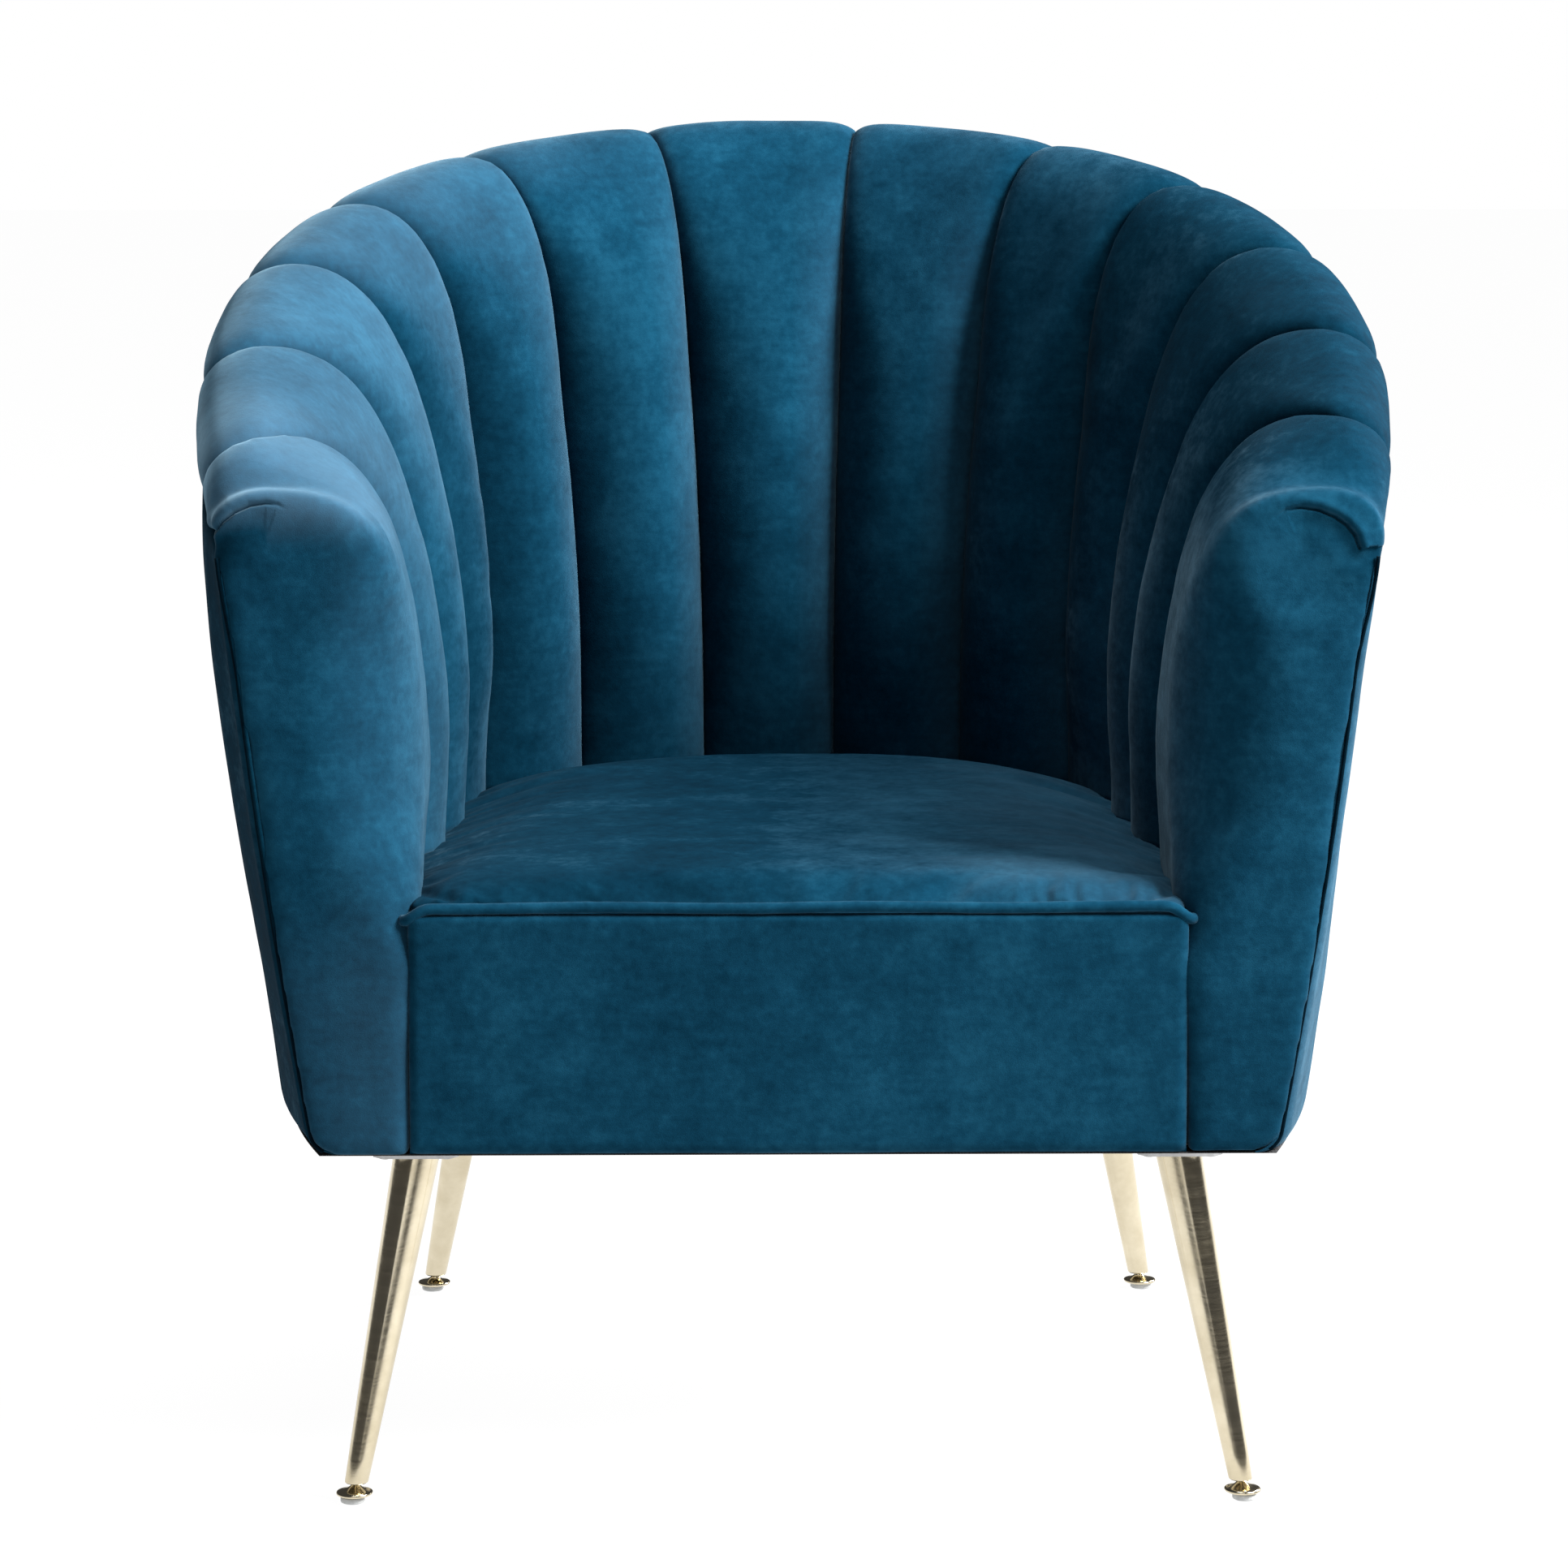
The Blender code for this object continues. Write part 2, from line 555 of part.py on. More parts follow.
def build_seat():
    """Springs, platform cloth, foam, cushion, front panel and the piping between them."""
    for number, x in enumerate(SPRING_X):
        half = FOOT_HALF_WIDTH - RAIL_INSET - RAIL_T
        reach = FOOT_BACK_REACH - RAIL_INSET - RAIL_T
        far = FOOT_STRAIGHT + reach * math.sqrt(1 - (x / half) ** 2) + 0.010
        near = 0.024
        waves = 22
        path = []
        for i in range(waves * 2 + 1):
            share = i / (waves * 2)
            aside = 0.019 * math.sin(math.pi * i / 2)
            z = SPRING_Z + SPRING_ARCH * math.sin(math.pi * share)
            path.append((x + aside, near + (far - near) * share, z))
        tube("sinuous_spring_%d" % (number + 1), path, WIRE_R, 5, STEEL, 0.35, 1.0)
    outline = cushion_outline(TUCK - 0.004, 0.2380, 0.0124)
    prism("platform_cloth", outline, PLATFORM_Z[0], PLATFORM_Z[1], (0.75, 0.73, 0.68), 0.95)
    prism("seat_foam", outline, FOAM_Z[0], FOAM_Z[1], (0.88, 0.84, 0.68), 0.95)
    plan = np.array(cushion_outline(TUCK, 0.2380, 0.0088))
    middle = np.array([0.0, 0.29])
    loops = [[(*p, CUSHION_Z[0]) for p in plan]]
    for f in (1.0, 0.965, 0.92, 0.85, 0.72, 0.52, 0.28, 0.06):
        lift = CROWN * (1 - (f / 0.92) ** 3) if f < 0.92 else 0.0
        loops.append([(*(middle + (p - middle) * f), CUSHION_Z[1] + lift) for p in plan])
    rings("seat_cushion", loops, VELVET, 0.85)
    box("seat_front_panel", (-0.2455, 0.0006, BODY_Z), (0.2455, 0.0080, 0.3738), VELVET, 0.85)
    path = [(-0.2421, 0.0200, PIPING_Z)]
    corner = 0.0075
    for a in np.linspace(0.0, 90.0, 5):
        r = math.radians(a)
        path.append((-0.2421 + corner * (1 - math.cos(r)), 0.0120 - corner * math.sin(r), PIPING_Z))
    right = [(-x, y, z) for x, y, z in path[::-1]]
    path = path + [(x, 0.0045, PIPING_Z) for x in np.linspace(-0.21, 0.21, 8)] + right
    tube("seat_piping", path, PIPING_R, 8, VELVET, 0.85)


def build_legs():
    """Tapered legs, the plates that hold them, and a levelling glide with a soft pad in each."""
    sides = 20
    for end, foot, along in (("front", FRONT_FOOT, -1), ("rear", REAR_FOOT, 1)):
        for side, sign in (("left", -1), ("right", 1)):
            tag = "%s_%s" % (end, side)

            def ring(z, radius, count=sides):
                cx = sign * (foot[0] - SPLAY_OUT * z)
                cy = foot[1] - along * SPLAY_ALONG * z
                turn = [2 * math.pi * i / count for i in range(count)]
                return [(cx + radius * math.cos(a), cy + radius * math.sin(a), z) for a in turn]

            steps = [ring(LEG_TOP_Z, LEG_TOP_R)]
            for share in (0.5, 1.0):
                z = LEG_TOP_Z + (LEG_END_Z + 0.0012 - LEG_TOP_Z) * share
                steps.append(ring(z, LEG_TOP_R + (LEG_END_R - LEG_TOP_R) * share))
            steps.append(ring(LEG_END_Z, LEG_END_R - 0.0010))
            steps.append(ring(LEG_END_Z, BORE_R))
            steps.append(ring(BORE_TOP_Z, BORE_R))
            rings("leg_" + tag, steps, GOLD, 0.22, 1.0)
            sole = 0.0043
            glide = [ring(sole, 0.0090, 16), ring(0.0056, DISC_R, 16), ring(0.0078, DISC_R, 16),
                     ring(0.0090, 0.0085, 16), ring(0.0098, 0.0040, 16), ring(0.0105, STEM_R, 16),
                     ring(0.0380, STEM_R, 16)]
            rings("glide_" + tag, glide, GOLD, 0.25, 1.0)
            pad = [ring(0.0, PAD_R - 0.0008, 16), ring(0.0008, PAD_R, 16), ring(PAD_TOP_Z, PAD_R, 16)]
            centre = np.array(ring(0.0, 0.0, 1)[0])
            pad = [[(p[0] - (np.mean([q[0] for q in loop]) - centre[0]),
                     p[1] - (np.mean([q[1] for q in loop]) - centre[1]), p[2]) for p in loop] for loop in pad]
            rings("glide_pad_" + tag, pad, (0.62, 0.62, 0.60), 0.5)
            top = np.array(ring(LEG_TOP_Z, 0.0, 1)[0])
            cx = top[0] - (0.0 if end == "front" else sign * 0.010)
            cy = top[1] + (0.0068 if end == "front" else -0.008)
            half, cut = 0.0270, 0.006
            plan = [(half, half - cut), (half - cut, half), (cut - half, half), (-half, half - cut),
                    (-half, cut - half), (cut - half, -half), (half - cut, -half), (half, cut - half)]
            plan = [(cx + x, cy + y) for x, y in plan]
            prism("leg_plate_" + tag, plan, 0.2162, 0.2186, STEEL, 0.4, 1.0)


def clear_scene():
    for obj in list(bpy.data.objects):
        bpy.data.objects.remove(obj, do_unlink=True)


clear_scene()
build_frame()
build_channels()
build_arm_fronts()
build_shell()
build_seat()
build_legs()
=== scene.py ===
"""Looks of the channel-back armchair: velvet upholstery, metal legs and the unseen frame, on the CAD frame.

All lengths are metres. The wall functions repeat those of the CAD source at a finer step. Like it, they have
X to the right seen from the front, Y back from the front edge and Z up from the floor. mesh_object() and
place() move the finished points by CENTRE_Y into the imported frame.
"""
import math

import bmesh
import bpy
import numpy as np
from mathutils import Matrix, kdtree


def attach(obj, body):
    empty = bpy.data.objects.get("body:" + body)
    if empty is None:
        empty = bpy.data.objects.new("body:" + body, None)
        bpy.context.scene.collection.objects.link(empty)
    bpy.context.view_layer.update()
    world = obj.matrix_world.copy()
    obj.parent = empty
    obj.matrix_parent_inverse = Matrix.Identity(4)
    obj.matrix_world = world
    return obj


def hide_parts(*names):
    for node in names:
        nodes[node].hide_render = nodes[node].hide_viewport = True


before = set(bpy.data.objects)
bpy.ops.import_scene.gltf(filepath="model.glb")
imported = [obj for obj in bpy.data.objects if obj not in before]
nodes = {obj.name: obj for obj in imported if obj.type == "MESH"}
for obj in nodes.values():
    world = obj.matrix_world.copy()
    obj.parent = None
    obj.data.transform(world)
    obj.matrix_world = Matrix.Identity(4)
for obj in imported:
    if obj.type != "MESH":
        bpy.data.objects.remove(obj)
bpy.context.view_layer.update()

# ---- the wall, as in the CAD source
CENTRE_Y = 0.3516
# Plan lines: half width, reach of the curved back, length of the straight sides, toe-in of their front ends.
CREST_PLAN = (0.3476, 0.4435, 0.2263, 0.0731)
BASE_PLAN = (0.2294, 0.1723, 0.4084, -0.0827)
FOOT_PLAN = (0.340, 0.3887, 0.2263, 0.1159)
REACH_UNIT = 0.416           # length over which the toe-in builds up
CREST_Z_BACK = 0.8290
CREST_Z_FRONT = 0.6417
CREST_FALL = 1.22
NOSE_DROP = 0.013
RIM_OUT_SIDE = 0.0345
RIM_OUT_BACK = 0.060
RIM_DROP = 0.030
RIM_SKIRT = 0.020
BASE_FRONT_X = 0.2465
SEAT_Z = 0.3825
CHANNELS = 11
SEAM_ARCS_CREST = (-0.7816, -0.6425, -0.5044, -0.3800, -0.2435, -0.0982,
                   0.0513, 0.1990, 0.3321, 0.4743, 0.6184, 0.7485)
SEAM_PITCH_BASE = 0.0909
SEAM_SHIFT_BASE = -0.0120
PAD_T = 0.022
BULGE = 0.0125
FRONT_Y = 0.020
FRONT_K = 6.5
BODY_Z = 0.2200
COVER_BOW = 0.004
LAST_SEAM = CHANNELS / 2

# ---- looks
CREASE = 0.0145              # depth of a seam below the line between its channels
CREASE_TOP = 0.0045          # the same at the crest
CREST_RAISE = 0.0058         # how much the channels' tops stand above the crest line, seams included
BACK_FULLNESS = 0.007        # extra height of the channels of the back
HEM = 0.013                  # how far the channels run down behind the cushion's edge
FRONT_ROUND = 0.075          # radius between an arm's inner face and its front, above the seat
FRONT_ROUND_LOW = 0.036      # the same at seat level
FRONT_ROUND_TOP = 0.012      # the same over the crest
FRONT_ROUND_FOOT = 0.010     # the same beside the front panel
ARM_VOXEL = 0.0038
DART_DEPTH = 0.0034
DART_ROLL = 0.0016           # height of the fold above the dart
DART_HOLLOW = 0.0024         # depth of the hollow below it
DART_REACH_Y = 0.045         # depth of the arm's front that the dart can reach
COVER_T = 0.0036
COVER_BOW_LEFT = 0.0085      # how much further the cover swells below the rim on the left
COVER_BOW_RIGHT = -0.0035    # the same on the right, where it is flatter
COVER_FRONT_Y = 0.003        # front of the cover's rounded corners
COVER_TURN_Y = 0.011         # where they begin
EDGE_ROLL = 0.013            # radius of the cover's bottom edge
BACK_SEAM_K = 3.35           # channel coordinate of the two joins in the cover
BACK_SEAM_DEPTH = 0.0026
CUSHION_VOXEL = 0.0045
CUSHION_PRESSURE = 4.0
CUSHION_CAP = 0.012          # about how far the simulation may move a point
CLOTH_FRAMES = 20
SEAT_MIDDLE = np.array([0.0, 0.29])
FRAME_ORIGIN = np.array([0.0, CENTRE_Y, 0.0])


def smooth_step(x, low, high):
    t = np.clip((np.asarray(x, dtype=float) - low) / (high - low), 0.0, 1.0)
    return t * t * (3 - 2 * t)


def value_noise(points, scale, seed):
    """Smooth noise from -1 to 1 at an array of points (n, 3); scale is the size of its features."""
    p = np.asarray(points, dtype=float) / scale + 1000.0
    cell = np.floor(p).astype(np.int64)
    f = p - cell
    f = f * f * f * (f * (f * 6 - 15) + 10)
    total = np.zeros(len(p))
    for dx in (0, 1):
        for dy in (0, 1):
            for dz in (0, 1):
                key = (cell[:, 0] + dx) * 73856093 ^ (cell[:, 1] + dy) * 19349663
                key = key ^ (cell[:, 2] + dz) * 83492791 ^ (seed * 2654435761)
                key = (key ^ (key >> 13)) * 1274126177 & 0x7FFFFFFF
                key = (key ^ (key >> 16)) & 0xFFFFFF
                wx = f[:, 0] if dx else 1 - f[:, 0]
                wy = f[:, 1] if dy else 1 - f[:, 1]
                wz = f[:, 2] if dz else 1 - f[:, 2]
                total += wx * wy * wz * (key / 0x7FFFFF - 1.0)
    return total


def horseshoe_table(plan):
    """Length along the curved quarter of a plan line for each angle of turn."""
    half_width, reach = plan[:2]
    turn = np.linspace(0.0, math.pi / 2, 400)
    speed = np.sqrt((half_width * np.cos(turn)) ** 2 + (reach * np.sin(turn)) ** 2)
    length = np.concatenate([[0.0], np.cumsum((speed[1:] + speed[:-1]) / 2 * np.diff(turn))])
    return turn, length


TABLES = {plan: horseshoe_table(plan) for plan in (CREST_PLAN, BASE_PLAN, FOOT_PLAN)}
CREST_LENGTH = TABLES[CREST_PLAN][1][-1] + CREST_PLAN[2]
FOOT_LENGTH = TABLES[FOOT_PLAN][1][-1] + FOOT_PLAN[2]


def horseshoe(plan, arc):
    """Plan point at a signed length from the middle of the back."""
    half_width, reach, straight, toe_in = plan
    turn, length = TABLES[plan]
    far = abs(arc)
    phi = np.interp(min(far, length[-1]), length, turn)
    run = max(far - length[-1], 0.0)
    x = half_width * math.sin(phi) - toe_in * (run / REACH_UNIT) ** 2
    return np.array([math.copysign(1.0, arc) * x, straight + reach * math.cos(phi) - run])


def crest_arc(k):
    """Length along the crest of channel coordinate k. Seams lie at half-integer k."""
    inner = float(np.interp(k, np.arange(CHANNELS + 1) - LAST_SEAM, SEAM_ARCS_CREST))
    if abs(k) <= LAST_SEAM:
        return inner
    share = (abs(k) - LAST_SEAM) / (FRONT_K - LAST_SEAM)
    end = math.copysign(CREST_LENGTH - FRONT_Y, k)
    return inner + (end - inner) * share


def crest(k):
    arc = crest_arc(k)
    x, y = horseshoe(CREST_PLAN, arc)
    share = min(abs(arc) / CREST_LENGTH, 1.0)
    nose = min(max(abs(k) - LAST_SEAM, 0.0) / (FRONT_K - LAST_SEAM), 1.0)
    z = CREST_Z_FRONT + (CREST_Z_BACK - CREST_Z_FRONT) * max(1 - share ** 2, 0.0) ** CREST_FALL
    return np.array([x, y, z - NOSE_DROP * nose ** 3])


def crest_out(k):
    arc = crest_arc(k)
    ahead = horseshoe(CREST_PLAN, arc + 0.002) - horseshoe(CREST_PLAN, arc - 0.002)
    out = np.array([-ahead[1], ahead[0]])
    out /= np.linalg.norm(out)
    share = min(max(abs(k) - LAST_SEAM, 0.0) / (FRONT_K - LAST_SEAM), 1.0)
    out = out * (1 - share) + np.array([math.copysign(1.0, k), 0.0]) * share
    return out / np.linalg.norm(out)


def base(k):
    inner = min(max(k, -LAST_SEAM), LAST_SEAM) * SEAM_PITCH_BASE + SEAM_SHIFT_BASE
    point = horseshoe(BASE_PLAN, inner)
    if abs(k) <= LAST_SEAM:
        return point
    share = (abs(k) - LAST_SEAM) / (FRONT_K - LAST_SEAM)
    end = np.array([math.copysign(BASE_FRONT_X, k), FRONT_Y])
    return point + (end - point) * share


def rim_out(k):
    share = min(abs(crest_arc(k)) / 0.48, 1.0)
    return RIM_OUT_BACK + (RIM_OUT_SIDE - RIM_OUT_BACK) * (share * share * (3 - 2 * share))


def rim_skirt(k):
    """Straight part below the rolled edge, shorter towards the front of the arms."""
    return RIM_SKIRT - 0.012 * float(smooth_step(abs(k), 4.5, 6.4))


LINE_POINTS = 88             # along a channel
CREST_AT = 62                # index of the crest among them


def seam_line(k):
    """Cross-section of the wall: from seat level over the crest to the outer edge."""
    foot = base(k)
    top = crest(k)
    run = top[:2] - foot
    depth = np.linalg.norm(run)
    across = run / depth
    shoulder = 0.0807 * min(abs(crest_arc(k)) / CREST_LENGTH, 1.0)
    rise = top[2] - SEAT_Z
    t = np.linspace(0.0, 1.0, 160)[:, None]
    p0, p1 = np.array([0.0, SEAT_Z - HEM]), np.array([0.0, SEAT_Z + 0.869 * rise])
    p2, p3 = np.array([depth - shoulder, top[2]]), np.array([depth, top[2]])
    q = (1 - t) ** 3 * p0 + 3 * (1 - t) ** 2 * t * p1 + 3 * (1 - t) * t * t * p2 + t ** 3 * p3
    inner = np.column_stack([foot[0] + across[0] * q[:, 0], foot[1] + across[1] * q[:, 0], q[:, 1]])
    out = crest_out(k)
    wide = rim_out(k)
    step = np.linspace(0.0, 1.0, 40)[1:, None]
    a = math.pi / 2 * step
    go = across * (1 - step) + out * step
    go /= np.linalg.norm(go, axis=1)[:, None]
    roll = np.column_stack([top[:2] + go * wide * np.sin(a), top[2] - RIM_DROP * (1 - np.cos(a[:, 0]))])
    skirt = roll[-1] - np.linspace(0.0, rim_skirt(k), 6)[1:, None] * np.array([0.0, 0.0, 1.0])
    outer = np.concatenate([inner[-1:], roll, skirt])
    return np.concatenate([resample(inner, CREST_AT + 1), resample(outer, LINE_POINTS - CREST_AT)[1:]])


def resample(line, count):
    """The same line with evenly spaced points."""
    length = np.concatenate([[0.0], np.cumsum(np.linalg.norm(np.diff(line, axis=0), axis=1))])
    at = np.linspace(0.0, length[-1], count)
    return np.column_stack([np.interp(at, length, line[:, i]) for i in range(3)])


def section(k):
    """A cross-section of the wall with the outward normal at each of its points."""
    points = seam_line(k)
    sideways = seam_line(k + 0.04) - seam_line(k - 0.04)
    along = np.gradient(points, axis=0)
    normals = np.cross(sideways, along)
    share = max(abs(k) - LAST_SEAM, 0.0) / (FRONT_K - LAST_SEAM)
    normals[:, 1] *= 1 - min(share, 1.0) ** 2
    normals /= np.linalg.norm(normals, axis=1)[:, None]
    if np.dot(normals[8, :2], crest(k)[:2] - base(k)) > 0:
        normals = -normals
    return points, normals


def shell(k, z):
    """Point on the outer face of the shell at height z; its bottom edge rolls under."""
    top = crest(k)
    high = top[:2] + crest_out(k) * (rim_out(k) - 0.001)
    arc = crest_arc(k) * (FOOT_LENGTH - FRONT_Y) / (CREST_LENGTH - FRONT_Y)
    low = horseshoe(FOOT_PLAN, arc)
    share = (z - BODY_Z) / (top[2] - RIM_DROP - BODY_Z)
    plan = low + (high - low) * share
    high_up = min(max(share, 0.0), 1.0)
    fullest = 5.3 * high_up ** 2.2 * (1 - high_up) ** 0.75
    widest = (COVER_BOW_LEFT if k < 0 else COVER_BOW_RIGHT) * (1 - float(smooth_step(abs(k), 5.2, 6.5)))
    bow = COVER_BOW * math.sin(math.pi * high_up) + widest * float(smooth_step(abs(k), 1.5, 3.5)) * fullest
    rest = max(EDGE_ROLL - (z - BODY_Z), 0.0)
    roll = EDGE_ROLL - math.sqrt(EDGE_ROLL ** 2 - rest ** 2)
    return np.array([*(plan + crest_out(k) * (bow - roll)), z])


def edge_radius(sign, z):
    """Radius of the cover's turn round the corner to the arm's front face."""
    full = 0.0050 if sign < 0 else 0.0075
    return full * (0.25 + 0.75 * float(smooth_step(crest(sign * FRONT_K)[2] - z, 0.040, 0.110)))


def seam_inset(sign, z):
    """How far in from the cover's face the seam lies that joins it to the arm's front."""
    return edge_radius(sign, z) + 0.0006


# ---- mesh helpers
def circle(count):
    return np.linspace(0.0, 2 * math.pi, count, endpoint=False)


def add_object(name, data):
    obj = bpy.data.objects.new(name, data)
    bpy.context.scene.collection.objects.link(obj)
    return obj


def mesh_object(name, verts, faces, mat):
    mesh = bpy.data.meshes.new(name)
    moved = np.asarray(verts, dtype=float) - FRAME_ORIGIN
    mesh.from_pydata([tuple(v) for v in moved], [], [tuple(int(i) for i in f) for f in faces])
    work = bmesh.new()
    work.from_mesh(mesh)
    bmesh.ops.recalc_face_normals(work, faces=work.faces)
    if work.calc_volume(signed=True) < 0:
        bmesh.ops.reverse_faces(work, faces=work.faces)
    work.to_mesh(mesh)
    work.free()
    obj = add_object(name, mesh)
    mesh.materials.append(mat)
    mesh.shade_smooth()
    return obj


def slab_parts(front, back):
    """Vertices and faces of a closed body between two grids of points."""
    front, back = np.asarray(front), np.asarray(back)
    nu, nv = front.shape[:2]
    size = nu * nv
    grid = np.arange(size).reshape(nu, nv)
    a, b, c, d = grid[:-1, :-1], grid[1:, :-1], grid[1:, 1:], grid[:-1, 1:]
    quads = np.stack([a, b, c, d], axis=-1).reshape(-1, 4)
    faces = [quads, quads[:, ::-1] + size]
    for edge in (grid[:, 0], grid[:, -1][::-1], grid[0, :][::-1], grid[-1, :]):
        faces.append(np.stack([edge[:-1], edge[:-1] + size, edge[1:] + size, edge[1:]], axis=-1))
    return np.concatenate([front.reshape(-1, 3), back.reshape(-1, 3)]), np.concatenate(faces)


def slab(name, front, back, mat):
    return mesh_object(name, *slab_parts(front, back), mat)


def ring_parts(loops):
    """Vertices and faces of a body skinned over loops, with its ends capped."""
    n = len(loops[0])
    verts = np.concatenate([np.asarray(loop, dtype=float) for loop in loops])
    faces = []
    for i in range(len(loops) - 1):
        for j in range(n):
            a, b = i * n + j, i * n + (j + 1) % n
            faces.append((a, b, b + n, a + n))
    faces.append(tuple(range(n))[::-1])
    faces.append(tuple((len(loops) - 1) * n + j for j in range(n)))
    return verts, faces


def rings(name, loops, mat, sharp=35):
    obj = mesh_object(name, *ring_parts(loops), mat)
    obj.data.set_sharp_from_angle(angle=math.radians(sharp))
    return obj


def gather(parts):
    """Several (vertices, faces) in one."""
    verts, faces, count = [], [], 0
    for v, f in parts:
        verts.append(np.asarray(v))
        faces += [tuple(int(i) + count for i in face) for face in f]
        count += len(v)
    return np.concatenate(verts), faces


def tube_loops(path, radius, sides):
    path = np.asarray(path, dtype=float)
    ahead = np.gradient(path, axis=0)
    ahead /= np.linalg.norm(ahead, axis=1)[:, None]
    radius = np.broadcast_to(radius, len(path))
    side = np.cross(ahead[0], (0.0, 0.0, 1.0))
    if np.linalg.norm(side) < 1e-6:
        side = np.array([1.0, 0.0, 0.0])
    loops = []
    for p, t, r in zip(path, ahead, radius):
        side = side - t * side.dot(t)
        side /= np.linalg.norm(side)
        up = np.cross(side, t)
        turn = circle(sides)[:, None]
        loops.append(p + r * (np.cos(turn) * side + np.sin(turn) * up))
    return loops


def vertex_values(mesh, name):
    """Coordinates ("co") or normals ("normal") of the vertices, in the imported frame."""
    values = np.zeros(len(mesh.vertices) * 3)
    mesh.vertices.foreach_get(name, values)
    return values.reshape(-1, 3)


def coordinates(obj):
    return vertex_values(obj.data, "co") + FRAME_ORIGIN


def normals_of(obj):
    return vertex_values(obj.data, "normal")


def place(obj, co):
    obj.data.vertices.foreach_set("co", (co - FRAME_ORIGIN).ravel())
    obj.data.update()


def modify(obj, kind, **values):
    """Adds a modifier with the given settings."""
    modifier = obj.modifiers.new(kind.lower(), kind)
    for key, value in values.items():
        setattr(modifier, key, value)


def applied(obj):
    """Applies all modifiers of obj."""
    graph = bpy.context.evaluated_depsgraph_get()
    mesh = bpy.data.meshes.new_from_object(obj.evaluated_get(graph))
    obj.modifiers.clear()
    obj.data = mesh
    mesh.shade_smooth()
    return obj


def paint_light_and_shade(obj, tone):
    """Stores painted light and shade at each vertex for the velvet: above 0 it is painted brighter with more
    sheen, below 0 painted dimmer with less sheen. It stands for the way the pile lies and also for light and
    shade that the lamps do not give.
    """
    layer = obj.data.attributes.new("nap_and_painted_light", "FLOAT", "POINT")
    layer.data.foreach_set("value", np.asarray(tone, dtype=np.float32))


def wall_painted_light(co):
    """Painted light and shade on the back and arms: the left side painted brighter, most over the top of the
    left arm and its front, and the top of the right side painted darker.
    """
    x, y, z = co.T
    left = smooth_step(-x, 0.05, 0.34)
    high = smooth_step(z + 0.20 * y, 0.56, 0.70)
    ends = smooth_step(-y, -0.16, -0.02) * smooth_step(z, 0.585, 0.63)
    right = smooth_step(x, 0.10, 0.34)
    inner = 0.13 * smooth_step(-x, 0.12, 0.30)
    return left * (0.25 * high + 0.68 * ends) - 0.45 * right * high + inner


def refine(obj, near):
    """Splits the faces round chosen points into four."""
    work = bmesh.new()
    work.from_mesh(obj.data)
    chosen = {v for v in work.verts if near(v.co)}
    edges = [e for e in work.edges if e.verts[0] in chosen and e.verts[1] in chosen]
    bmesh.ops.subdivide_edges(work, edges=edges, cuts=1, use_grid_fill=True)
    bmesh.ops.triangulate(work, faces=[f for f in work.faces if len(f.verts) > 4])
    work.to_mesh(obj.data)
    work.free()
    obj.data.shade_smooth()


def inflate(obj, pinned, pressure, cap):
    """Cloth simulation under air pressure. Pinned vertices stay, and none moves much further than cap."""
    group = obj.vertex_groups.new(name="pinned")
    group.add([int(i) for i in np.nonzero(pinned)[0]], 1.0, "REPLACE")
    before = coordinates(obj)
    cloth = obj.modifiers.new("cloth", "CLOTH")
    settings = cloth.settings
    settings.quality = 5
    settings.mass = 0.25
    settings.tension_stiffness = settings.compression_stiffness = 12.0
    settings.shear_stiffness = 4.0
    settings.bending_stiffness = 0.4
    settings.vertex_group_mass = "pinned"
    settings.shrink_min = settings.shrink_max = -0.025
    settings.use_pressure = True
    settings.uniform_pressure_force = pressure
    settings.effector_weights.gravity = 0.0
    cloth.collision_settings.use_collision = False
    cloth.point_cache.frame_start = 1
    cloth.point_cache.frame_end = CLOTH_FRAMES
    scene = bpy.context.scene
    for frame_number in range(1, CLOTH_FRAMES + 1):
        scene.frame_set(frame_number)
    graph = bpy.context.evaluated_depsgraph_get()
    mesh = bpy.data.meshes.new_from_object(obj.evaluated_get(graph))
    after = vertex_values(mesh, "co") + FRAME_ORIGIN
    bpy.data.meshes.remove(mesh)
    obj.modifiers.clear()
    obj.vertex_groups.clear()
    scene.frame_set(1)
    step = after - before
    length = np.maximum(np.linalg.norm(step, axis=1), 1e-9)
    place(obj, before + step * (cap * np.tanh(length / cap) / length)[:, None])


def finished(obj, replaced, body="root"):
    """Attaches a finished piece to its body and hides the CAD pieces it replaces."""
    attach(obj, body)
    if replaced:
        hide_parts(*replaced)
    return obj


# ---- materials
def new_material(name, roughness=0.5, metallic=0.0):
    mat = bpy.data.materials.new(name)
    mat.use_nodes = True
    bsdf = mat.node_tree.nodes["Principled BSDF"]
    bsdf.inputs["Roughness"].default_value = roughness
    bsdf.inputs["Metallic"].default_value = metallic
    return mat, mat.node_tree, bsdf


def object_coordinates(tree):
    return tree.nodes.new("ShaderNodeTexCoord").outputs["Object"]


def noise(tree, scale, detail=3.0, rough=0.55, stretch=None):
    """A noise in object coordinates; stretch scales it apart along X, Y and Z."""
    node = tree.nodes.new("ShaderNodeTexNoise")
    node.inputs["Scale"].default_value = scale
    node.inputs["Detail"].default_value = detail
    node.inputs["Roughness"].default_value = rough
    source = object_coordinates(tree)
    if stretch:
        mapping = tree.nodes.new("ShaderNodeMapping")
        mapping.inputs["Scale"].default_value = stretch
        tree.links.new(source, mapping.inputs["Vector"])
        source = mapping.outputs["Vector"]
    tree.links.new(source, node.inputs["Vector"])
    return node.outputs["Fac"]


def math_node(tree, kind, a, b):
    node = tree.nodes.new("ShaderNodeMath")
    node.operation = kind
    for socket, value in zip(node.inputs, (a, b)):
        if isinstance(value, (int, float)):
            socket.default_value = value
        else:
            tree.links.new(value, socket)
    return node.outputs[0]


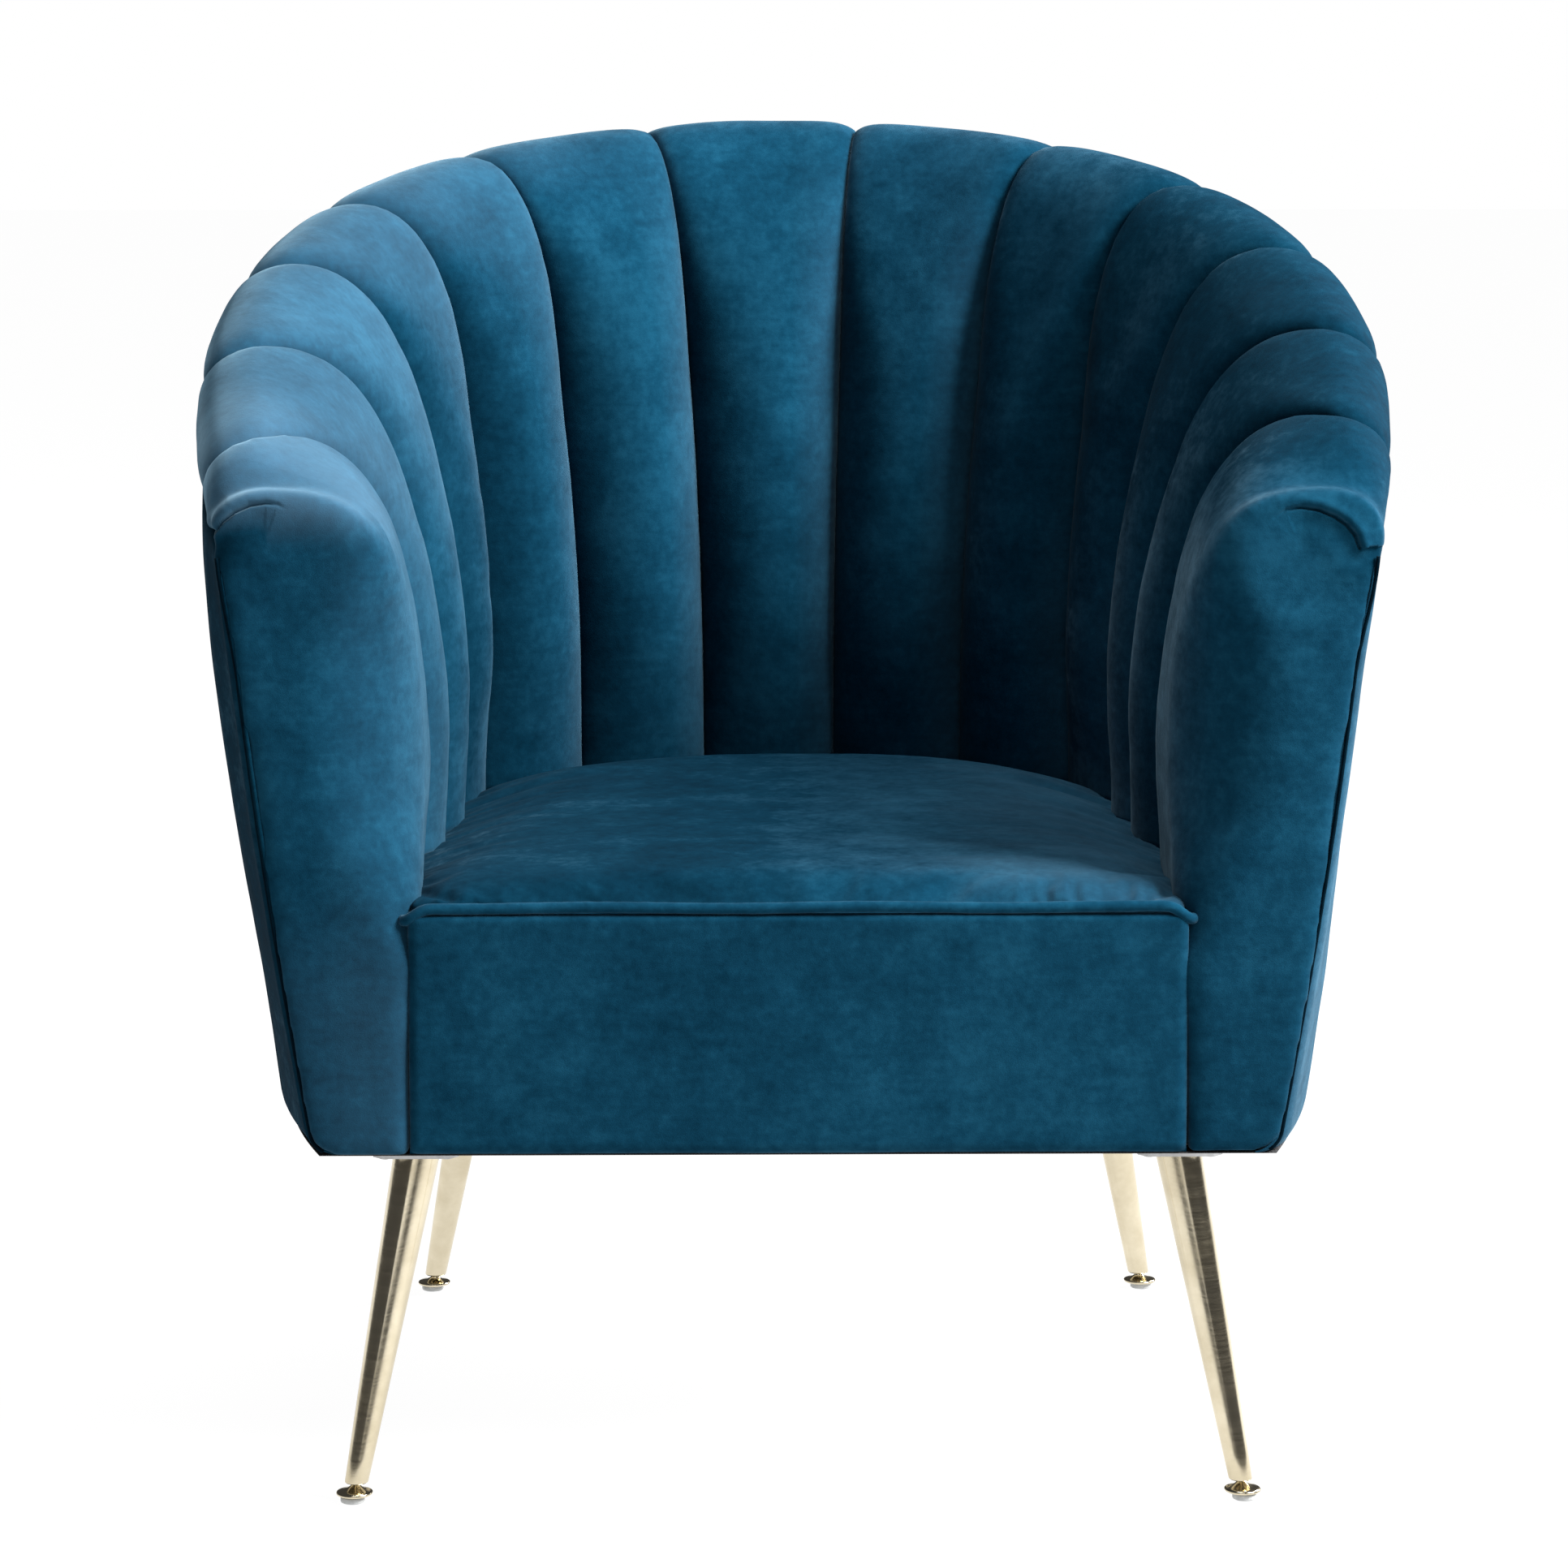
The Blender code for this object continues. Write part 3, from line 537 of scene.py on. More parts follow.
def weighted_sum(tree, parts):
    """Sum of (factor, weight) pairs."""
    terms = [math_node(tree, "MULTIPLY", factor, weight) for factor, weight in parts]
    total = terms[0]
    for term in terms[1:]:
        total = math_node(tree, "ADD", total, term)
    return total


def scaled_colour(tree, colour, factor):
    """A linked or plain colour times a factor."""
    node = tree.nodes.new("ShaderNodeVectorMath")
    node.operation = "SCALE"
    if isinstance(colour, tuple):
        node.inputs[0].default_value = colour
    else:
        tree.links.new(colour, node.inputs[0])
    tree.links.new(factor, node.inputs["Scale"])
    return node.outputs[0]


def ramp(tree, factor, stops):
    """Colour ramp; stops are (position, colour) with the colour a number or a triple."""
    node = tree.nodes.new("ShaderNodeValToRGB")
    tree.links.new(factor, node.inputs["Fac"])
    elements = node.color_ramp.elements
    while len(elements) < len(stops):
        elements.new(0.5)
    for element, (position, colour) in zip(elements, stops):
        colour = (colour,) * 3 if isinstance(colour, (int, float)) else colour
        element.position = position
        element.color = (*colour, 1.0)
    return node.outputs["Color"]


def bump(tree, bsdf, layers):
    """Chained bumps; layers are (height, strength, distance)."""
    last = None
    for height, strength, distance in layers:
        node = tree.nodes.new("ShaderNodeBump")
        node.inputs["Strength"].default_value = strength
        node.inputs["Distance"].default_value = distance
        tree.links.new(height, node.inputs["Height"])
        if last is not None:
            tree.links.new(last, node.inputs["Normal"])
        last = node.outputs["Normal"]
    tree.links.new(last, bsdf.inputs["Normal"])


def velvet_material():
    """Short-pile velvet: pile lying this way and that in soft patches, faint cross streaks, fine pile, with
    painted light and shade from a vertex attribute.
    """
    mat, tree, bsdf = new_material("petrol_velvet", 0.85)
    clouds = noise(tree, 7.0, 3.0, 0.55)
    patches = noise(tree, 34.0, 6.0, 0.68)
    streaks = noise(tree, 1.0, 4.0, 0.6, (26.0, 26.0, 170.0))
    specks = noise(tree, 160.0, 4.0, 0.6)
    nap_and_painted_light = weighted_sum(tree, [(clouds, 0.30), (patches, 0.35), (specks, 0.23), (streaks, 0.12)])
    colour = ramp(tree, nap_and_painted_light, [(0.39, (0.0012, 0.0215, 0.0430)), (0.50, (0.0022, 0.0335, 0.0650)),
                              (0.61, (0.0046, 0.0510, 0.0940))])
    # Painted light and shade stored on the vertices: below 0 the colour is scaled down as painted shade,
    # above 0 a pale blue is added as painted light.
    painted_light_attribute = tree.nodes.new("ShaderNodeAttribute")
    painted_light_attribute.attribute_name = "nap_and_painted_light"
    painted_shade_amount = math_node(tree, "MINIMUM", painted_light_attribute.outputs["Fac"], 0.0)
    colour_with_painted_shade = scaled_colour(tree, colour, math_node(tree, "ADD", painted_shade_amount, 1.0))
    along = math_node(tree, "MAXIMUM", painted_light_attribute.outputs["Fac"], 0.0)
    painted_light_colour = scaled_colour(tree, (0.030, 0.052, 0.075), along)
    colour_with_painted_light = tree.nodes.new("ShaderNodeVectorMath")
    colour_with_painted_light.operation = "ADD"
    tree.links.new(colour_with_painted_shade, colour_with_painted_light.inputs[0])
    tree.links.new(painted_light_colour, colour_with_painted_light.inputs[1])
    tree.links.new(colour_with_painted_light.outputs[0], bsdf.inputs["Base Color"])
    # Sheen weight: varies with the patches, and the stored painted light raises it as a painted highlight or
    # lowers it as painted shade.
    sheen_with_painted_highlight = math_node(tree, "MULTIPLY", math_node(tree, "SUBTRACT", nap_and_painted_light, 0.5), 0.55)
    sheen_with_painted_highlight = math_node(tree, "ADD", sheen_with_painted_highlight, math_node(tree, "MULTIPLY", painted_light_attribute.outputs["Fac"], 0.35))
    sheen_with_painted_highlight = math_node(tree, "MAXIMUM", math_node(tree, "ADD", sheen_with_painted_highlight, 0.15), 0.02)
    tree.links.new(sheen_with_painted_highlight, bsdf.inputs["Sheen Weight"])
    tree.links.new(ramp(tree, nap_and_painted_light, [(0.3, 0.80), (0.7, 0.95)]), bsdf.inputs["Roughness"])
    bsdf.inputs["Specular IOR Level"].default_value = 0.01
    bsdf.inputs["Sheen Roughness"].default_value = 0.45
    bsdf.inputs["Sheen Tint"].default_value = (0.45, 0.70, 0.86, 1.0)
    pile = noise(tree, 1500.0, 2.0, 0.6)
    crush = noise(tree, 110.0, 4.0, 0.6)
    bump(tree, bsdf, [(crush, 0.22, 0.0012), (pile, 0.30, 0.0005)])
    return mat


PLY_PITCH = 0.003


def wood_material(name, pale, dark, along, plies=False):
    """Timber with its grain along an axis, or plywood with its plies across Z."""
    mat, tree, bsdf = new_material(name, 0.62)
    stretch = [38.0, 38.0, 38.0]
    stretch[along] = 3.0
    grain = noise(tree, 1.0, 6.0, 0.65, tuple(stretch))
    if plies:
        split = tree.nodes.new("ShaderNodeSeparateXYZ")
        tree.links.new(object_coordinates(tree), split.inputs[0])
        turns = math_node(tree, "MULTIPLY", split.outputs["Z"], 2 * math.pi / PLY_PITCH)
        layers = math_node(tree, "SINE", turns, 0.0)
        grain = math_node(tree, "ADD", grain, math_node(tree, "MULTIPLY", layers, 0.10))
    colour = ramp(tree, grain, [(0.34, dark), (0.66, pale)])
    tree.links.new(colour, bsdf.inputs["Base Color"])
    tree.links.new(ramp(tree, grain, [(0.3, 0.72), (0.7, 0.55)]), bsdf.inputs["Roughness"])
    bump(tree, bsdf, [(grain, 0.35, 0.0008), (noise(tree, 420.0), 0.2, 0.0003)])
    return mat


def metal_material(name, colour, roughness, worn, streak):
    """Metal with fine streaks, smudges and slight wear."""
    mat, tree, bsdf = new_material(name, roughness, 1.0)
    smudge = noise(tree, 26.0, 5.0, 0.6)
    lines = noise(tree, 1.0, 3.0, 0.6, streak)
    tree.links.new(ramp(tree, smudge, [(0.30, worn), (0.62, colour)]), bsdf.inputs["Base Color"])
    mixed = weighted_sum(tree, [(smudge, 0.5), (lines, 0.5)])
    gloss = ramp(tree, mixed, [(0.35, roughness * 1.5), (0.65, roughness * 0.8)])
    tree.links.new(gloss, bsdf.inputs["Roughness"])
    bump(tree, bsdf, [(lines, 0.06, 0.0002)])
    return mat


def woven_material(name, pale, dark, pitch):
    """Plain woven or pressed cloth."""
    mat, tree, bsdf = new_material(name, 0.95)
    waves = []
    for direction in ("X", "Y"):
        wave = tree.nodes.new("ShaderNodeTexWave")
        wave.bands_direction = direction
        wave.inputs["Scale"].default_value = 0.314 / pitch
        wave.inputs["Distortion"].default_value = 0.6
        tree.links.new(object_coordinates(tree), wave.inputs["Vector"])
        waves.append(wave.outputs["Fac"])
    weave = math_node(tree, "MULTIPLY", waves[0], waves[1])
    cloudy = weighted_sum(tree, [(weave, 0.4), (noise(tree, 40.0, 5.0), 0.6)])
    tree.links.new(ramp(tree, cloudy, [(0.25, dark), (0.60, pale)]), bsdf.inputs["Base Color"])
    bump(tree, bsdf, [(weave, 0.4, pitch * 0.3), (noise(tree, 500.0), 0.3, 0.0003)])
    return mat


def foam_material():
    mat, tree, bsdf = new_material("cut_foam", 0.95)
    cells = tree.nodes.new("ShaderNodeTexVoronoi")
    cells.inputs["Scale"].default_value = 650.0
    tree.links.new(object_coordinates(tree), cells.inputs["Vector"])
    tone = weighted_sum(tree, [(cells.outputs["Distance"], 0.5), (noise(tree, 14.0), 0.5)])
    tree.links.new(ramp(tree, tone, [(0.2, (0.62, 0.55, 0.34)), (0.7, (0.86, 0.80, 0.60))]),
                   bsdf.inputs["Base Color"])
    bump(tree, bsdf, [(cells.outputs["Distance"], 0.5, 0.0006)])
    return mat


def nylon_material():
    mat, tree, bsdf = new_material("nylon_pad", 0.45)
    cloud = noise(tree, 120.0, 4.0)
    tree.links.new(ramp(tree, cloud, [(0.35, (0.42, 0.43, 0.43)), (0.65, (0.62, 0.63, 0.62))]),
                   bsdf.inputs["Base Color"])
    bsdf.inputs["Subsurface Weight"].default_value = 0.25
    bsdf.inputs["Subsurface Radius"].default_value = (0.004, 0.004, 0.004)
    bump(tree, bsdf, [(noise(tree, 700.0), 0.2, 0.0003)])
    return mat


VELVET = velvet_material()
GOLD = metal_material("champagne_gold", (0.77, 0.69, 0.52), 0.14, (0.62, 0.54, 0.38), (60.0, 60.0, 700.0))
STEEL = metal_material("plain_steel", (0.56, 0.57, 0.58), 0.32, (0.38, 0.37, 0.36), (500.0, 40.0, 500.0))
TIMBER = wood_material("pine_timber", (0.66, 0.47, 0.28), (0.42, 0.26, 0.13), 2)
RAIL_TIMBER = wood_material("pine_rail", (0.66, 0.47, 0.28), (0.42, 0.26, 0.13), 0)
PLYWOOD = wood_material("birch_plywood", (0.68, 0.52, 0.34), (0.50, 0.35, 0.20), 0, plies=True)
PLATFORM = woven_material("platform_cloth_weave", (0.66, 0.63, 0.56), (0.44, 0.41, 0.35), 0.0016)
DUST = woven_material("black_dust_cloth", (0.030, 0.030, 0.032), (0.012, 0.012, 0.013), 0.0022)
FOAM = foam_material()
NYLON = nylon_material()


# ---- channels of the back and arms
def swell_share(v):
    """Fullness along a channel: v is 0 at the seat and 1 at the outer edge."""
    return (0.45 + 0.55 * smooth_step(v, 0.0, 0.20)) * (1 - smooth_step(v, 0.80, 1.0))


def profile(s, v, k):
    """Height of a channel over its seam line: s is -1 and 1 at the seams.

    Towards the crest the whole channel stands higher, its top gets flatter and its seams shallower. Below it,
    the channels of the back are fuller.
    """
    top = smooth_step(v, 0.40, 0.72)
    raised = CREST_RAISE * top * (1 - smooth_step(v, 0.80, 1.0))
    full = (BULGE - CREST_RAISE * top) * swell_share(v)
    middle = 1 - smooth_step(abs(k), 2.5, 4.5)
    full = full + BACK_FULLNESS * middle * smooth_step(v, 0.0, 0.2) * (1 - top)
    crease = CREASE + (CREASE_TOP - CREASE) * top
    shape = (1 - np.abs(s) ** (2.0 + 5.0 * top)) ** (0.68 - 0.22 * top)
    return raised - crease + (full + crease) * shape


def puckers(v, edge, seed):
    """Small gathers that run out from a seam; edge is the distance to the seam."""
    along = np.column_stack([v * 0.62, np.full(len(v), seed * 3.7), np.zeros(len(v))])
    folds = value_noise(along, 0.0085, seed)
    where = smooth_step(value_noise(along, 0.085, seed + 50), -0.15, 0.75)
    where = 0.25 + 0.75 * where * (0.5 + 0.5 * smooth_step(v, 0.35, 0.7))
    reach = np.exp(-np.maximum(edge, 0.0) / 0.010)
    return 0.0011 * folds * where * reach


def build_channel(index):
    k0 = index - LAST_SEAM
    across = np.sin(np.linspace(-math.pi / 2, math.pi / 2, 37))
    half = 0.5 * (1 - 0.001)
    front, back = [], []
    v = np.linspace(0.0, 1.0, LINE_POINTS)
    middle = seam_line(k0 + 0.5)
    width = np.linalg.norm(seam_line(k0 + 1) - seam_line(k0), axis=1) / 2
    for s in across:
        points, normals = section(k0 + 0.5 + s * half)
        lift = profile(s, v, k0 + 0.5)
        edge = (1 - abs(s)) * width
        seam = index if s < 0 else index + 1
        lift = lift + puckers(v, edge, seam * 2 + (s > 0))
        lift = lift + 0.0011 * value_noise(points, 0.11, 7) * (1 - abs(s) ** 4)
        lift = lift + 0.0005 * value_noise(points * np.array([0.4, 0.4, 1.0]), 0.018, 9) * (1 - abs(s) ** 4)
        front.append(points + normals * lift[:, None])
        back.append(points - normals * PAD_T)
    node = "channel_%02d" % (index + 1)
    obj = slab("channel_pad_%02d" % (index + 1), front, back, VELVET)
    # Painted light and shade across each channel of the back below the crest: its left half painted darker
    # and its right half brighter, as if lit from the right.
    painted_side_light = (0.42 * across[:, None] - 0.16) * (1 - smooth_step(v, 0.50, 0.72))[None]
    painted_side_light = np.tile((painted_side_light * (1 - smooth_step(abs(k0 + 0.5), 3.0, 5.0))).ravel(), 2)
    paint_light_and_shade(obj, wall_painted_light(coordinates(obj)) + painted_side_light)
    return finished(obj, [node])


for number in range(CHANNELS):
    build_channel(number)


# ---- arm fronts, in one piece with their channel
DART = {-1: [(-0.3665, 0.6135), (-0.3590, 0.6215), (-0.3500, 0.6280), (-0.3400, 0.6325), (-0.3300, 0.6340),
             (-0.3225, 0.6330), (-0.3150, 0.6290)],
        1: [(0.3485, 0.6050), (0.3455, 0.6130), (0.3400, 0.6195), (0.3330, 0.6245), (0.3225, 0.6290),
            (0.3115, 0.6305), (0.3020, 0.6285), (0.2950, 0.6235), (0.2905, 0.6180)]}


def arm_inner_face(sign):
    """Outer and inner skin of the front channel, its face normals and the radius that rounds its end."""
    v = np.linspace(0.0, 1.0, LINE_POINTS)
    start = LAST_SEAM - 0.003
    round_low = (FRONT_ROUND - FRONT_ROUND_LOW) * smooth_step(v, 0.0, 0.20)
    radius = FRONT_ROUND_LOW + round_low + (FRONT_ROUND_TOP - FRONT_ROUND) * smooth_step(v, 0.34, 0.62)
    front, back, facing = [], [], []
    for u in np.linspace(0.0, 1.0, 40):
        k = sign * (start + (FRONT_K - start) * u)
        points, normals = section(k)
        s = u * 2 - 1
        if s < 0:
            lift = profile(s, v, k)
        else:
            ending = s * (1 - smooth_step(v, 0.80, 1.0))
            lift = BULGE * (1 - 0.30 * s) * (swell_share(v) * (1 - s) + ending)
        front.append(points + normals * lift[:, None])
        back.append(points - normals * PAD_T)
        facing.append(normals)
    return front, back, facing, radius


def arm_lower_edge(sign, seat_x):
    """Inner edge of the arm's front below seat level, easing into the channel's foot at seat_x."""
    ease = np.linspace(0.0, 1.0, 20)[:-1]
    x = sign * (BASE_FRONT_X - 0.0008)
    z = np.linspace(BODY_Z, SEAT_Z - HEM, 20)[:-1]
    return np.column_stack([x + (seat_x - x) * ease ** 3, z])


def arm_block(sign, lower, last):
    """Solid behind the arm's front face."""
    ring = [tuple(p) for p in lower] + [(p[0], p[2]) for p in last]
    for z in np.linspace(last[-1][2], BODY_Z, 60)[1:]:
        ring.append((shell(sign * FRONT_K, z)[0] - sign * seam_inset(sign, z), z))
    return ring_parts([[(x, y, z) for x, z in ring] for y in (0.0, 0.012, 0.025)])


def round_arm(obj, samples, facing, radius):
    """Rounds the corner between the arm's inner face, given by samples, and its front face, y = 0.

    Returns the vertices that lie on the front face.
    """
    tree = kdtree.KDTree(len(samples))
    for i, p in enumerate(samples):
        tree.insert(p, i)
    tree.balance()
    co = coordinates(obj)
    near = np.array([tree.find(p)[1] for p in co])
    n, r = facing[near], radius[near]
    d = np.maximum(-np.einsum("ij,ij->i", co - samples[near], n), 0.0)
    a = np.clip(1 - d / r, 0.0, 1.0)
    b = np.clip(1 - np.maximum(co[:, 1], 0.0) / r, 0.0, 1.0)
    new_d = r * (1 - a * np.sqrt(1 - b * b / 2))
    new_y = r * (1 - b * np.sqrt(1 - a * a / 2))
    moved = (a > 0) & (b > 0)
    co[moved] -= n[moved] * (new_d - d)[moved][:, None]
    co[moved, 1] = new_y[moved]
    place(obj, co)
    return np.nonzero((b > 0.93) & (co[:, 2] > BODY_Z + 0.012))[0]


def smooth_arm(obj, on_face):
    """Evens out the front face, then softens and refines the whole pad."""
    group = obj.vertex_groups.new(name="face")
    group.add([int(i) for i in on_face], 1.0, "REPLACE")
    modify(obj, "SMOOTH", factor=0.5, iterations=30, vertex_group="face")
    modify(obj, "SMOOTH", factor=0.5, iterations=5)
    modify(obj, "SUBSURF", levels=1, render_levels=1)
    applied(obj)


def cut_dart(obj, sign):
    """Sews the curved dart into the top of the arm's front and stores painted light and shade round it."""
    line = resample(np.column_stack([DART[sign], np.zeros(len(DART[sign]))]), 90)[:, :2]
    for reach in (0.016, 0.0055):
        refine(obj, lambda p: abs(p.y + CENTRE_Y) < DART_REACH_Y and
               min(math.hypot(p.x - x, p.z - z) for x, z in line[::4]) < reach)
    co, no = coordinates(obj), normals_of(obj)
    fade = 1 - smooth_step(np.linspace(0.0, 1.0, len(line)), 0.55, 1.0)
    distance = np.linalg.norm(co[:, None, [0, 2]] - line[None], axis=2)
    best = distance.argmin(axis=1)
    nearest = distance[np.arange(len(co)), best]
    above = np.sign(co[:, 2] - line[best][:, 1]) * nearest
    in_front = (co[:, 1] < DART_REACH_Y) & (no[:, 1] < 0.7)
    strength = np.where(in_front, fade[best], 0.0)
    groove = DART_ROLL * np.exp(-((above - 0.0042) / 0.0034) ** 2)
    groove = groove - DART_DEPTH * np.exp(-(above / 0.0012) ** 2)
    groove = groove - DART_HOLLOW * np.exp(-((above + 0.0070) / 0.0080) ** 2)
    lift = strength * groove + 0.0010 * value_noise(co, 0.10, 21)
    lift = lift + 0.0004 * value_noise(co * (0.4, 0.4, 1.0), 0.018, 22)
    place(obj, co + no * lift[:, None])
    # Painted light and shade round the dart: the top of the arm's front takes the wall's painted light, and
    # the left arm's low part and inner edge are painted brighter.
    tone = wall_painted_light(co) * smooth_step(co[:, 2], 0.60, 0.635)
    if sign < 0:
        tone = tone + 0.16 * (1 - smooth_step(co[:, 2], 0.30, 0.40))
        tone = tone + 0.10 * smooth_step(co[:, 0], -0.31, -0.27)
    # Painted shade in the hollow below the dart.
    under = np.exp(-((above + 0.016) / 0.012) ** 2) * fade[best] * in_front
    paint_light_and_shade(obj, np.where(co[:, 1] < 0.03, tone * 0.9, wall_painted_light(co)) - 0.30 * under)


def build_arm(side, sign):
    """Front channel and padded front face, one fabric over both."""
    front, back, facing, radius = arm_inner_face(sign)
    last = front[-1]
    lower = arm_lower_edge(sign, last[0][0])
    flat = facing[-1].copy()
    flat[:, 1] = 0.0
    flat /= np.linalg.norm(flat, axis=1)[:, None]
    samples, radii = list(front), [radius] * len(front)
    foot_share = smooth_step(lower[:, 1], 0.335, 0.378)
    lower_radius = FRONT_ROUND_FOOT + (FRONT_ROUND_LOW - FRONT_ROUND_FOOT) * foot_share
    for y in np.linspace(0.0, FRONT_Y, 8)[:-1]:
        samples.append(np.column_stack([last[:, 0], np.full(len(last), y), last[:, 2]]))
        facing.append(flat)
        radii.append(radius)
        samples.append(np.column_stack([lower[:, 0], np.full(len(lower), y), lower[:, 1]]))
        facing.append(np.tile([-sign, 0.0, 0.0], (len(lower), 1)))
        radii.append(lower_radius)
    obj = mesh_object("arm_pad_" + side, *slab_parts(front, back), VELVET)
    block = mesh_object("arm_pad_%s_block" % side, *arm_block(sign, lower, last), VELVET)
    work = bmesh.new()
    work.from_mesh(obj.data)
    work.from_mesh(block.data)
    work.to_mesh(obj.data)
    work.free()
    bpy.data.objects.remove(block)
    modify(obj, "REMESH", mode="VOXEL", voxel_size=ARM_VOXEL)
    applied(obj)
    on_face = round_arm(obj, np.concatenate(samples), np.concatenate(facing), np.concatenate(radii))
    smooth_arm(obj, on_face)
    cut_dart(obj, sign)
    return finished(obj, ["front_channel_" + side, "arm_front_" + side])


build_arm("left", -1)
build_arm("right", 1)


# ---- outer cover
def front_k(sign, y):
    """Channel coordinate beyond the arm fronts' depth, where the cover's plan line reaches depth y."""
    per_k = (CREST_LENGTH - FRONT_Y) - abs(SEAM_ARCS_CREST[0 if sign < 0 else -1])
    return sign * (FRONT_K + (FRONT_Y - y) / per_k)


def build_cover():
    """Skin of the sides and back, turned in at both front corners, with the seams beside the arm fronts."""
    turn = np.radians([90.0, 68.0, 46.0, 24.0])
    ks = np.concatenate([[front_k(-1, COVER_FRONT_Y)] * 4, [front_k(-1, COVER_TURN_Y)],
                         np.linspace(-FRONT_K, FRONT_K, 240),
                         [front_k(1, COVER_TURN_Y)], [front_k(1, COVER_FRONT_Y)] * 4])
    turns = np.concatenate([turn, np.zeros(len(ks) - 8), turn[::-1]])
    front, back = [], []
    for k, a in zip(ks, turns):
        edge = min(abs(k), FRONT_K) * math.copysign(1.0, k)
        z1 = crest(edge)[2] - RIM_DROP - rim_skirt(edge) - 0.0010
        levels = np.concatenate([BODY_Z + EDGE_ROLL * (1 - np.cos(np.linspace(0.0, math.pi / 2, 9)))[:-1],
                                 np.linspace(BODY_Z + EDGE_ROLL, z1, 52)])
        levels[0] += 0.0002
        skin = np.array([shell(k, z) for z in levels])
        out = np.array([*crest_out(k), 0.0])
        sign = math.copysign(1.0, k)
        if abs(k) > FRONT_K + 0.001:
            radius = np.array([edge_radius(sign, z) for z in levels])
            skin[:, 0] -= sign * radius * (1 - math.cos(a))
            skin[:, 1] = COVER_FRONT_Y + (radius * (1 - math.sin(a)) if a > 0 else radius)
            out = np.array([sign * math.cos(a), -math.sin(a), 0.0])
        tuck = 0.0022 * np.exp(-((z1 - levels) / 0.004) ** 2)
        beside = abs(k) - BACK_SEAM_K
        seam = 0.0006 * math.exp(-(beside / 0.07) ** 2) - BACK_SEAM_DEPTH * math.exp(-(beside / 0.016) ** 2)
        wave = 0.0012 * value_noise(skin, 0.16, 31) + 0.0004 * value_noise(skin, 0.035, 32)
        front.append(skin + out * (wave * 0.9 - tuck + seam)[:, None])
        back.append(skin - out * (COVER_T + tuck + 0.0008)[:, None])
    parts = [slab_parts(front, back)]
    for sign in (-1, 1):
        top = crest(sign * FRONT_K)[2] - RIM_DROP - rim_skirt(sign * FRONT_K) + 0.004
        path = np.array([shell(sign * FRONT_K, z) for z in np.linspace(BODY_Z + 0.002, top, 160)])
        path[:, 0] -= sign * np.array([seam_inset(sign, z) for z in path[:, 2]])
        path[:, 1] = 0.0038
        parts.append(ring_parts(tube_loops(path, 0.0013 + 0.0001 * value_noise(path, 0.006, 33), 10)))
    obj = mesh_object("outer_cover_skin", *gather(parts), VELVET)
    co = coordinates(obj)
    # Painted light and shade on the cover: its right side painted slightly brighter, its left side painted
    # darker, and the seam beads painted dark as shade in their seams.
    bead = np.arange(len(co)) >= len(parts[0][0])
    sides = 0.12 * smooth_step(co[:, 0], 0.20, 0.34) - 0.40 * smooth_step(-co[:, 0], 0.20, 0.34)
    paint_light_and_shade(obj, np.where(bead, -0.85, sides))
    return finished(obj, ["outer_cover"])


build_cover()


# ---- seat
CUSHION_Z = (0.3532, 0.3812)
CROWN = 0.004
EDGE_DROP = 0.012            # how much lower the cushion is along its sides and back
TUCK = 0.016
PIPING_R = 0.0036
PIPING_Z = 0.3780
PIPING_END = 0.2490
PANEL_HALF_WIDTH = 0.2455
PANEL_TOP_Z = 0.3738


def cushion_outline(tuck, side, front, count):
    plan = [(-side + 0.0035, front), (-side, front + 0.0035), (-side, 0.0210)]
    for k in np.linspace(-6.3, 6.3, count):
        foot = base(k)
        ahead = base(k + 0.05) - base(k - 0.05)
        out = np.array([-ahead[1], ahead[0]]) / np.linalg.norm(ahead)
        plan.append(tuple(foot + out * tuck))
    plan += [(side, 0.0210), (side, front + 0.0035), (side - 0.0035, front)]
    return np.array(plan)


